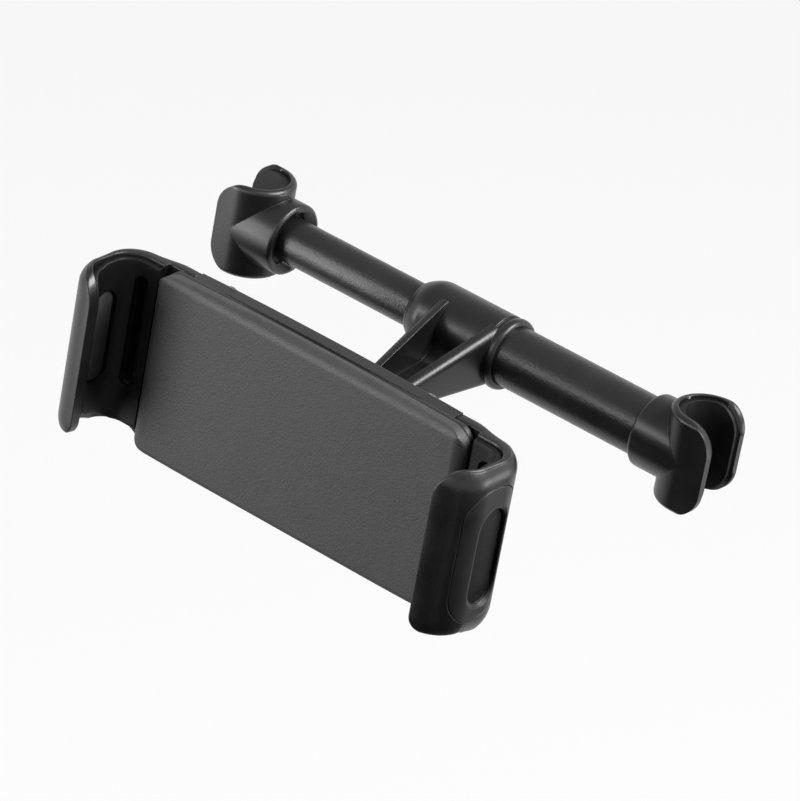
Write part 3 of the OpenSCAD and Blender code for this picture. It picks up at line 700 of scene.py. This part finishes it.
def arm_beam():
    """Beam with sloping top, narrower at its tip, open at the top."""
    def slab(half_near, half_far, top_near, top_far, foot, near, far):
        rings = []
        for y, half, top in ((near, half_near, top_near), (far, half_far, top_far)):
            rings.append([(-half, y, foot), (half, y, foot), (half, y, top), (-half, y, top)])
        return loft(rings)
    beam = softened(slab(10.3, 6.6, 8.75, -1.5, -7.9, -3.5, -36), 1.9, 50, 8)
    pocket = slab(7.9, 4.1, 12, 2.2, ARM_FLOOR_Z, 4, -33.2)
    return carve(beam, pocket)


def hub_fillet():
    """Hollow fillet between the sleeve and the pocket's floor."""
    r = 5.0
    centre = (-math.sqrt((HUB_R + r) ** 2 - (r + ARM_FLOOR_Z) ** 2), ARM_FLOOR_Z + r)
    start = math.atan2(-centre[1], -centre[0])
    curve = [(centre[0] + r * math.cos(start + (-math.pi / 2 - start) * k / 12),
              centre[1] + r * math.sin(start + (-math.pi / 2 - start) * k / 12)) for k in range(13)]
    outline = curve + [(centre[0], ARM_FLOOR_Z - 1), (-8.2, ARM_FLOOR_Z - 1), (-8.2, centre[1])]
    return prism(outline, -8.2, 8.2, "x")


def ball_and_neck():
    ball_y, ball_z, r, neck = -45.0, -4.6, 6.5, 2.6
    form = bmesh.new()
    bmesh.ops.create_uvsphere(form, u_segments=64, v_segments=40, radius=r * MM)
    bmesh.ops.translate(form, verts=form.verts, vec=Vector((0, ball_y, ball_z)) * MM)
    ball = as_object(form, "ball")
    carve(ball, rod("y", ball_y, -34, neck, (0, ball_z), 48), "UNION")
    return ball


def bracket():
    piece = arm_beam()
    carve(piece, hub_fillet(), "UNION")
    carve(piece, rod("x", -12, 8.2, HUB_R - 0.7), "UNION")
    carve(piece, rod("x", -20, 14, BORE_R + 0.005))
    carve(piece, hub_sleeve(), "UNION")
    carve(piece, rod("z", -12, -6, 1.4, (-2, 0), 32))
    return carve(piece, ball_and_neck(), "UNION")


mount = finished(bracket(), "bracket", body_plastic)
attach(mount, "fixed_side")
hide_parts("mount_bracket")

# %% [markdown]
# ## The hooks
#
# The collar of a hook is as wide as the hook itself, so the two round forms
# meet in a sharp V on each side, which the eye looks for at once. The CAD shell
# ends its collar earlier. A ring over the collar runs on into the shell and is
# cut by the post's room, and the union of both gives the V. The rubber inside
# nearly reaches the edge of the flaps.

# %% Shell with its long collar, and its rubber
def solid_copy(name):
    form = bmesh.new()
    form.from_mesh(nodes[name].data)
    bmesh.ops.remove_doubles(form, verts=form.verts, dist=1e-6)
    return as_object(form, "copy")


def hook(post_x, way, collar, name):
    """way is 1 where the hook opens to +X and -1 where it opens to -X."""
    ends = [(-collar - 0.02, 8.9), (-collar + 0.2, 9.4), (-collar + 0.6, 9.7), (-collar + 1.1, 9.79),
            (-0.4, 9.79), (-0.4, 8.6), (-collar - 0.02, 8.6)]
    ring = turned([(post_x + way * x, r) for x, r in ends], "x")
    carve(ring, rod("z", -20, 20, 8.9, (post_x, 0)))
    return carve(solid_copy(name), ring, "UNION")


def keep_mitre(piece, post_x):
    """Keeps the V between collar and shell sharp right to its tip."""
    def on_both(v):
        x, y, z = v.co / MM
        return abs(math.hypot(x - post_x, y) - 9.8) < 0.08 and abs(math.hypot(y, z) - 9.79) < 0.08
    mesh = piece.data
    marked = [e for e in mesh.edges if all(on_both(mesh.vertices[i]) for i in e.vertices)]
    for edge in marked:
        edge.use_edge_sharp = True
    print(piece.name, "keeps", len(marked), "edges of its V sharp")


def flap_outline(reach, half, r):
    points = [(20, -half), (r - reach, -half)]
    points += [(r - reach - r * math.sin(math.radians(a)), -half + r - r * math.cos(math.radians(a)))
               for a in range(9, 91, 9)]
    points += [(r - reach - r * math.cos(math.radians(a)), half - r + r * math.sin(math.radians(a)))
               for a in range(0, 91, 9)]
    return points + [(20, half)]


def hook_rubber(post_x, way):
    """U round the post, with a long and a short flap, made open to -X and turned."""
    def u_shape(r, reach):
        turn = [(-r * math.cos(math.radians(a)), -r * math.sin(math.radians(a))) for a in range(90, 271, 5)]
        return turn + [(-reach, r), (-reach, -r)]
    rubber = prism(u_shape(7.97, 16), -11.9, 11.9, "z")
    carve(rubber, prism(u_shape(6.5, 20), -20, 20, "z"))
    flaps = prism(flap_outline(6.8, 11.9, 7.2), 0, 20, "y")
    carve(flaps, prism(flap_outline(4.1, 11.9, 7.2), -20, 0, "y"), "UNION")
    softened(carve(rubber, flaps, "INTERSECT"), 0.35)
    for v in rubber.data.vertices:
        v.co.x, v.co.y = post_x * MM - way * v.co.x, -way * v.co.y
    return rubber


for name, body, post_x, way, collar in (("right", "fixed_side", 72.0, 1, 16.0),
                                        ("left", "sliding_side", -75.1, -1, 14.2)):
    shell = finished(hook(post_x, way, collar, name + "_hook"), name + "_hook_shell", body_plastic)
    keep_mitre(shell, post_x)
    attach(shell, body)
    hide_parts(name + "_hook")
    rubber = finished(hook_rubber(post_x, way), name + "_hook_rubber", liner_rubber)
    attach(rubber, body)
    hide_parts(name + "_hook_liner")

# %% [markdown]
# ## Screws and the lock nut with Geometry Nodes
#
# Six screws with hexagon sockets hold the housing and the hooks. Copies made by
# hand drift apart when a size changes, so one node tree builds a screw and puts
# it on every point of a small mesh. The lock nut repeats too: fourteen flutes
# give the fingers a grip, and a second tree cuts them all at once from a turned
# blank. Both trees end in real geometry with its material, and what they make
# is kept as a plain mesh.

# %% Helpers that name a tree's inputs and keep what it makes
def tree_inputs(tree, sockets):
    """Adds named inputs and gives back their identifiers, which a modifier needs."""
    return {name: tree.interface.new_socket(name=name, in_out="INPUT", socket_type="NodeSocket" + kind).identifier
            for name, kind in sockets}


def grown(seed, tree, ids, values):
    """Runs a tree on an object's mesh and keeps the result as its mesh."""
    step = seed.modifiers.new(tree.name, "NODES")
    step.node_group = tree
    for name, value in values.items():
        step[ids[name]] = value
    shaped = bpy.data.meshes.new_from_object(seed.evaluated_get(bpy.context.evaluated_depsgraph_get()))
    seed.modifiers.remove(step)
    seed.data = shaped
    return seed


def scaled_down(tree, value, share):
    """A vector along Z that is a share of a length."""
    part = add(tree, "ShaderNodeMath", operation="MULTIPLY")
    part.inputs[1].default_value = share
    wire(tree, value, part.inputs[0])
    vector = add(tree, "ShaderNodeCombineXYZ")
    wire(tree, part.outputs[0], vector.inputs["Z"])
    return vector.outputs[0]


def placed(tree, mesh, offset=None, turn=(0, 0, 0)):
    place = add(tree, "GeometryNodeTransform")
    place.inputs["Rotation"].default_value = turn
    wire(tree, mesh, place.inputs["Geometry"])
    if offset is not None:
        wire(tree, offset, place.inputs["Translation"])
    return place.outputs[0]


def dressed_end(tree, geometry, material, end):
    real = add(tree, "GeometryNodeRealizeInstances")
    wire(tree, geometry, real.inputs["Geometry"])
    skin = add(tree, "GeometryNodeSetMaterial")
    wire(tree, real.outputs["Geometry"], skin.inputs["Geometry"])
    wire(tree, material, skin.inputs["Material"])
    wire(tree, skin.outputs["Geometry"], end.inputs[0])


# %% Tree for the sunk screws
def make_screw_tree():
    tree = bpy.data.node_groups.new("sunk_screws", "GeometryNodeTree")
    ids = tree_inputs(tree, (("Points", "Geometry"), ("Head Radius", "Float"), ("Head Height", "Float"),
                             ("Shank Radius", "Float"), ("Length", "Float"), ("Socket Radius", "Float"),
                             ("Socket Depth", "Float"), ("Turn", "Vector"), ("Material", "Material")))
    tree.interface.new_socket(name="Screws", in_out="OUTPUT", socket_type="NodeSocketGeometry")
    start, end = add(tree, "NodeGroupInput"), add(tree, "NodeGroupOutput")
    head = add(tree, "GeometryNodeMeshCone", "sunk head", Vertices=48)
    wire(tree, start.outputs["Head Radius"], head.inputs["Radius Bottom"])
    wire(tree, start.outputs["Shank Radius"], head.inputs["Radius Top"])
    wire(tree, start.outputs["Head Height"], head.inputs["Depth"])
    shank = add(tree, "GeometryNodeMeshCylinder", "shank", Vertices=48)
    wire(tree, start.outputs["Shank Radius"], shank.inputs["Radius"])
    wire(tree, start.outputs["Length"], shank.inputs["Depth"])
    key = add(tree, "GeometryNodeMeshCylinder", "hexagon key", Vertices=6)
    wire(tree, start.outputs["Socket Radius"], key.inputs["Radius"])
    twice = add(tree, "ShaderNodeMath", "half of it stands out", operation="MULTIPLY")
    twice.inputs[1].default_value = 2.0
    wire(tree, start.outputs["Socket Depth"], twice.inputs[0])
    wire(tree, twice.outputs[0], key.inputs["Depth"])
    body = add(tree, "GeometryNodeMeshBoolean", operation="UNION", solver="EXACT")
    wire(tree, placed(tree, head.outputs["Mesh"], turn=(math.pi, 0, 0)), body.inputs["Mesh 2"])
    below = scaled_down(tree, start.outputs["Length"], -0.52)
    wire(tree, placed(tree, shank.outputs["Mesh"], below), body.inputs["Mesh 2"])
    socket = add(tree, "GeometryNodeMeshBoolean", operation="DIFFERENCE", solver="EXACT")
    wire(tree, body.outputs["Mesh"], socket.inputs["Mesh 1"])
    wire(tree, key.outputs["Mesh"], socket.inputs["Mesh 2"])
    spread = add(tree, "GeometryNodeInstanceOnPoints")
    wire(tree, start.outputs["Points"], spread.inputs["Points"])
    wire(tree, socket.outputs["Mesh"], spread.inputs["Instance"])
    wire(tree, start.outputs["Turn"], spread.inputs["Rotation"])
    dressed_end(tree, spread.outputs["Instances"], start.outputs["Material"], end)
    return tree, ids


screw_tree, screw_ids = make_screw_tree()
print("tree", screw_tree.name, "with", len(screw_tree.nodes), "nodes")


# %% Six screws on three bodies
QUARTER = math.pi / 2
SCREW_SETS = {
    "housing_screw_set": ("head", "housing_screws", [(x, -61, z) for x in (-32, 32) for z in (-30.4, 14.6)],
                          (2.7, 1.3, 1.3, 5.2, 0.9, 0.9), (-QUARTER, 0, 0)),
    "right_post_screw": ("fixed_side", "right_hook_screw", [(72 - 8.05, 0, 0)],
                         (3, 1.35, 1.6, 7.65, 1.1, 0.95), (0, QUARTER, 0)),
    "left_post_screw": ("sliding_side", "left_hook_screw", [(-75.1 + 8.05, 0, 0)],
                        (3, 1.35, 1.6, 7.65, 1.1, 0.95), (0, -QUARTER, 0)),
}
SCREW_SIZES = ("Head Radius", "Head Height", "Shank Radius", "Length", "Socket Radius", "Socket Depth")


def screws(name, points, sizes, turn):
    mesh = bpy.data.meshes.new(name)
    mesh.from_pydata([Vector(p) * MM for p in points], [], [])
    seed = bpy.data.objects.new(name, mesh)
    bpy.context.scene.collection.objects.link(seed)
    values = {size: value * MM for size, value in zip(SCREW_SIZES, sizes)}
    return grown(seed, screw_tree, screw_ids, values | {"Turn": turn, "Material": screw_steel})


for name, (body, node, points, sizes, turn) in SCREW_SETS.items():
    piece = finished(screws(name, points, sizes, turn), name, screw_steel)
    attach(piece, body)
    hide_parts(node)


# %% Tree for the flutes of a grip
def make_flute_tree():
    tree = bpy.data.node_groups.new("fluted_grip", "GeometryNodeTree")
    ids = tree_inputs(tree, (("Blank", "Geometry"), ("Flutes", "Int"), ("Flute Radius", "Float"),
                             ("Flute Circle", "Float"), ("Flute Length", "Float"), ("Centre", "Vector"),
                             ("Material", "Material")))
    tree.interface.new_socket(name="Grip", in_out="OUTPUT", socket_type="NodeSocketGeometry")
    start, end = add(tree, "NodeGroupInput"), add(tree, "NodeGroupOutput")
    circle = add(tree, "GeometryNodeMeshCircle", "one point a flute")
    wire(tree, start.outputs["Flutes"], circle.inputs["Vertices"])
    wire(tree, start.outputs["Flute Circle"], circle.inputs["Radius"])
    cutter = add(tree, "GeometryNodeMeshCylinder", "flute", Vertices=32)
    wire(tree, start.outputs["Flute Radius"], cutter.inputs["Radius"])
    wire(tree, start.outputs["Flute Length"], cutter.inputs["Depth"])
    spread = add(tree, "GeometryNodeInstanceOnPoints")
    wire(tree, circle.outputs["Mesh"], spread.inputs["Points"])
    wire(tree, cutter.outputs["Mesh"], spread.inputs["Instance"])
    upright = placed(tree, spread.outputs["Instances"], start.outputs["Centre"], (QUARTER, 0, 0))
    real = add(tree, "GeometryNodeRealizeInstances")
    wire(tree, upright, real.inputs["Geometry"])
    cut = add(tree, "GeometryNodeMeshBoolean", operation="DIFFERENCE", solver="EXACT")
    wire(tree, start.outputs["Blank"], cut.inputs["Mesh 1"])
    wire(tree, real.outputs["Geometry"], cut.inputs["Mesh 2"])
    dressed_end(tree, cut.outputs["Mesh"], start.outputs["Material"], end)
    return tree, ids


flute_tree, flute_ids = make_flute_tree()
print("tree", flute_tree.name, "with", len(flute_tree.nodes), "nodes")

# %% Lock nut
BALL_Y, BALL_Z, NUT_R, NUT_FLUTES, SEAT_R, BOSS_R = -45.0, -4.6, 12.6, 14, 6.8, 9.75
NUT_BACK, NUT_FRONT, GRIP_BACK = BALL_Y + 4.4, BALL_Y - 7.5, BALL_Y - 2.2


def nut_blank():
    """Section of the nut: the grip, a cone to the back, the ball's room and the boss's room."""
    grip = [(NUT_FRONT, 11.3), (NUT_FRONT + 0.12, 11.58), (NUT_FRONT + 0.4, 11.7), (NUT_FRONT + 0.7, 11.7),
            (NUT_FRONT + 0.7, NUT_R - 0.4), (NUT_FRONT + 0.82, NUT_R - 0.12), (NUT_FRONT + 1.1, NUT_R),
            (GRIP_BACK - 0.4, NUT_R), (GRIP_BACK - 0.12, NUT_R - 0.12), (GRIP_BACK, NUT_R - 0.4), (GRIP_BACK, 11.7)]
    cone = [(NUT_BACK - 0.4, 8.3), (NUT_BACK - 0.1, 8.0), (NUT_BACK, 7.8), (NUT_BACK, SEAT_R - 0.5)]
    room = [(BALL_Y + SEAT_R * math.sin(math.radians(a)), 1.001 * SEAT_R * math.cos(math.radians(a)))
            for a in range(35, -1, -5)]
    boss = [(BALL_Y - 0.5, SEAT_R), (BALL_Y - 0.5, BOSS_R), (NUT_FRONT, BOSS_R)]
    return turned(grip + cone + room + boss, "y", (0, BALL_Z), 112)


nut = grown(nut_blank(), flute_tree, flute_ids, {
    "Flutes": NUT_FLUTES, "Flute Radius": 1.5 * MM, "Flute Circle": (NUT_R + 0.8) * MM, "Flute Length": 7 * MM,
    "Centre": Vector((0, BALL_Y - 4.5, BALL_Z)) * MM, "Material": nut_plastic})
finished(nut, "fluted_nut", nut_plastic)
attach(nut, "turning_nut")
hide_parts("lock_nut")

# %% Tree for the coil springs
def make_coil_tree():
    tree = bpy.data.node_groups.new("coil_spring", "GeometryNodeTree")
    ids = tree_inputs(tree, (("Turns", "Float"), ("Coil Radius", "Float"), ("Wire Radius", "Float"),
                             ("Length", "Float"), ("Start", "Vector"), ("Material", "Material")))
    tree.interface.new_socket(name="Spring", in_out="OUTPUT", socket_type="NodeSocketGeometry")
    start, end = add(tree, "NodeGroupInput"), add(tree, "NodeGroupOutput")
    path = add(tree, "GeometryNodeCurveSpiral", "middle of the wire", Resolution=24)
    wire(tree, start.outputs["Turns"], path.inputs["Rotations"])
    wire(tree, start.outputs["Coil Radius"], path.inputs["Start Radius"])
    wire(tree, start.outputs["Coil Radius"], path.inputs["End Radius"])
    wire(tree, start.outputs["Length"], path.inputs["Height"])
    ring = add(tree, "GeometryNodeCurvePrimitiveCircle", "wire", Resolution=12)
    wire(tree, start.outputs["Wire Radius"], ring.inputs["Radius"])
    sweep = add(tree, "GeometryNodeCurveToMesh", Fill_Caps=True)
    wire(tree, path.outputs["Curve"], sweep.inputs["Curve"])
    wire(tree, ring.outputs["Curve"], sweep.inputs["Profile Curve"])
    along_bar = placed(tree, sweep.outputs["Mesh"], start.outputs["Start"], (0, QUARTER, 0))
    dressed_end(tree, along_bar, start.outputs["Material"], end)
    return tree, ids


coil_tree, coil_ids = make_coil_tree()
print("tree", coil_tree.name, "with", len(coil_tree.nodes), "nodes")

# %% [markdown]
# ## Springs
#
# The springs are hidden. When the bar or a jaw moves, a spring has to shorten,
# or its free end would stick out through a wall; here each coil is built at full
# length from its low end to its high end, and the joint, the fixed end and the
# travel in the table are not used.

# %% Three springs
SPRINGS = {     # joint, body, node, low end, high end, fixed end, travel, middle Y and Z, coil, wire, turns
    "bar_coil": ("bar_telescope", "fixed_side", "bar_spring", -57.3, 50.2, 50.2, 36, (0, 0), 3.5, 0.6, 18),
    "right_jaw_coil": ("right_jaw_slide", "head", "right_jaw_spring", -33, 35.5, 35.5, 35, (-58.7, -16.55),
                       1.75, 0.4, 15),
    "left_jaw_coil": ("left_jaw_slide", "head", "left_jaw_spring", -35.5, 33, -35.5, 35, (-58.7, 0.45),
                      1.75, 0.4, 15),
}
for name, (joint, body, node, low, high, fixed, travel, middle, coil, thick, turns) in SPRINGS.items():
    seed = bpy.data.objects.new(name, bpy.data.meshes.new(name))
    bpy.context.scene.collection.objects.link(seed)
    spring = grown(seed, coil_tree, coil_ids, {
        "Turns": float(turns), "Coil Radius": coil * MM, "Wire Radius": thick * MM,
        "Length": (high - low - 2 * thick) * MM, "Start": Vector((low + thick, *middle)) * MM,
        "Material": spring_steel})
    finished(spring, name, spring_steel, 60)
    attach(spring, body)
    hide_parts(node)
    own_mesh(spring)

# %% [markdown]
# ## Floor and light
#
# The photograph shows the holder alone on a pale ground. The floor is a wide
# plain sheet some way under it, so the shadow falls soft. Its white comes from
# its own colour, with a share that only the camera sees, and never from more
# light on the holder. Two soft boxes and an even sky do the rest: the larger one
# stands to the left and above, and draws the long highlight on the bar.

# %% Floor
def make_floor():
    mesh = bpy.data.meshes.new("floor")
    form = bmesh.new()
    bmesh.ops.create_grid(form, x_segments=1, y_segments=1, size=3)
    bmesh.ops.translate(form, verts=form.verts, vec=(0, 0, -0.30))
    form.to_mesh(mesh)
    form.free()
    floor = bpy.data.objects.new("floor", mesh)
    bpy.context.scene.collection.objects.link(floor)
    material = bpy.data.materials.new("pale_floor")
    material.use_nodes = True
    tree = material.node_tree
    tree.nodes.clear()
    out = add(tree, "ShaderNodeOutputMaterial")
    matt = add(tree, "ShaderNodeBsdfDiffuse", Color=(0.10, 0.10, 0.10, 1))
    glow = add(tree, "ShaderNodeEmission", Color=(0.86, 0.86, 0.86, 1))
    seen = add(tree, "ShaderNodeLightPath")
    both = add(tree, "ShaderNodeAddShader")
    sight = add(tree, "ShaderNodeMath", "camera, glossy or through", operation="ADD")
    wire(tree, seen.outputs["Is Camera Ray"], sight.inputs[0])
    wire(tree, seen.outputs["Is Glossy Ray"], sight.inputs[1])
    more = add(tree, "ShaderNodeMath", operation="ADD", use_clamp=True)
    wire(tree, sight.outputs[0], more.inputs[0])
    wire(tree, seen.outputs["Is Transmission Ray"], more.inputs[1])
    wire(tree, more.outputs[0], glow.inputs["Strength"])
    wire(tree, matt.outputs[0], both.inputs[0])
    wire(tree, glow.outputs[0], both.inputs[1])
    wire(tree, both.outputs[0], out.inputs["Surface"])
    mesh.materials.append(material)
    return floor


floor = make_floor()
print("floor at", round(min(v.co.z for v in floor.data.vertices), 3), "m")


# %% Dark card on the floor
def dark_card(corners):
    """Card that no camera sees, so that the parts facing it stay deep black."""
    mesh = bpy.data.meshes.new("dark_card")
    mesh.from_pydata(corners, [], [(0, 1, 2, 3)])
    card = bpy.data.objects.new("dark_card", mesh)
    bpy.context.scene.collection.objects.link(card)
    card.visible_camera = False
    card.visible_shadow = False
    material = bpy.data.materials.new("black_paper")
    material.use_nodes = True
    tree = material.node_tree
    tree.nodes.clear()
    paper = add(tree, "ShaderNodeBsdfDiffuse", Color=(0.01, 0.01, 0.01, 1))
    out = add(tree, "ShaderNodeOutputMaterial")
    wire(tree, paper.outputs[0], out.inputs["Surface"])
    mesh.materials.append(material)
    return card


card = dark_card([(-0.30, -1.3, -0.28), (0.5, -1.3, -0.28), (0.5, -0.12, -0.28), (-0.30, -0.12, -0.28)])
dark_card([(0.125, -0.14, -0.16), (0.125, 0.035, -0.16), (0.125, 0.035, -0.012), (0.125, -0.14, -0.012)])
print("card of", round(card.dimensions.x, 2), "by", round(card.dimensions.y, 2), "m")

# %% Sky
world = bpy.data.worlds.new("studio")
bpy.context.scene.world = world
world.use_nodes = True
tree = world.node_tree
tree.nodes.clear()
seen = add(tree, "ShaderNodeLightPath")
first = add(tree, "ShaderNodeMath", operation="ADD")
wire(tree, seen.outputs["Is Camera Ray"], first.inputs[0])
wire(tree, seen.outputs["Is Glossy Ray"], first.inputs[1])
second = add(tree, "ShaderNodeMath", operation="ADD", use_clamp=True)
wire(tree, first.outputs[0], second.inputs[0])
wire(tree, seen.outputs["Is Transmission Ray"], second.inputs[1])
light_sky = add(tree, "ShaderNodeBackground", "what lights", Color=(1, 1, 1, 1), Strength=0.10)
seen_sky = add(tree, "ShaderNodeBackground", "what is seen", Color=(1, 1, 1, 1))
way_up = add(tree, "ShaderNodeTexCoord")
parts = add(tree, "ShaderNodeSeparateXYZ")
falling = add(tree, "ShaderNodeMapRange", "white wall, grey ceiling")
for name, value in (("From Min", 0.22), ("From Max", 0.52), ("To Min", 0.94), ("To Max", 0.45)):
    falling.inputs[name].default_value = value
wire(tree, way_up.outputs["Generated"], parts.inputs[0])
wire(tree, parts.outputs["Z"], falling.inputs["Value"])
wire(tree, falling.outputs["Result"], seen_sky.inputs["Strength"])
choose = add(tree, "ShaderNodeMixShader")
wire(tree, second.outputs[0], choose.inputs[0])
wire(tree, light_sky.outputs[0], choose.inputs[1])
wire(tree, seen_sky.outputs[0], choose.inputs[2])
out = add(tree, "ShaderNodeOutputWorld")
wire(tree, choose.outputs[0], out.inputs["Surface"])
bpy.context.scene.view_settings.view_transform = "Standard"
print("sky of", light_sky.inputs["Strength"].default_value)

# %% Soft boxes
def soft_box(name, place, aim, size, watts):
    lamp = bpy.data.lights.new(name, "AREA")
    lamp.shape = "RECTANGLE"
    lamp.size, lamp.size_y = size
    lamp.energy = watts
    box = bpy.data.objects.new(name, lamp)
    box.location = place
    box.rotation_mode = "QUATERNION"
    box.rotation_quaternion = (Vector(aim) - Vector(place)).to_track_quat("-Z", "Y")
    box.visible_camera = False
    bpy.context.scene.collection.objects.link(box)
    return box


MIDDLE = (0, -0.03, -0.005)
BOXES = {
    "front_left": ((-0.9, -1.1, 0.25), (0.8, 0.8), 9.5),
    "low_left": ((-0.75, -0.95, -0.15), (0.5, 0.2), 2.5),
    "front_high": ((-0.1, -1.2, 0.6), (0.6, 0.6), 3),
    "top_right": ((0.66, 0.38, 0.86), (0.7, 0.5), 22),
    "top_front": ((0.35, -0.35, 1.1), (0.5, 0.5), 1.5),
    "right_back": ((1.0, 0.6, -0.1), (0.5, 0.3), 4),
    "low_card": ((-0.42, -0.54, -0.22), (0.2, 0.12), 0.3),
}
for name, (place, size, watts) in BOXES.items():
    soft_box(name, place, MIDDLE, size, watts)
print(len(BOXES), "soft boxes,", sum(b[2] for b in BOXES.values()), "W in all")
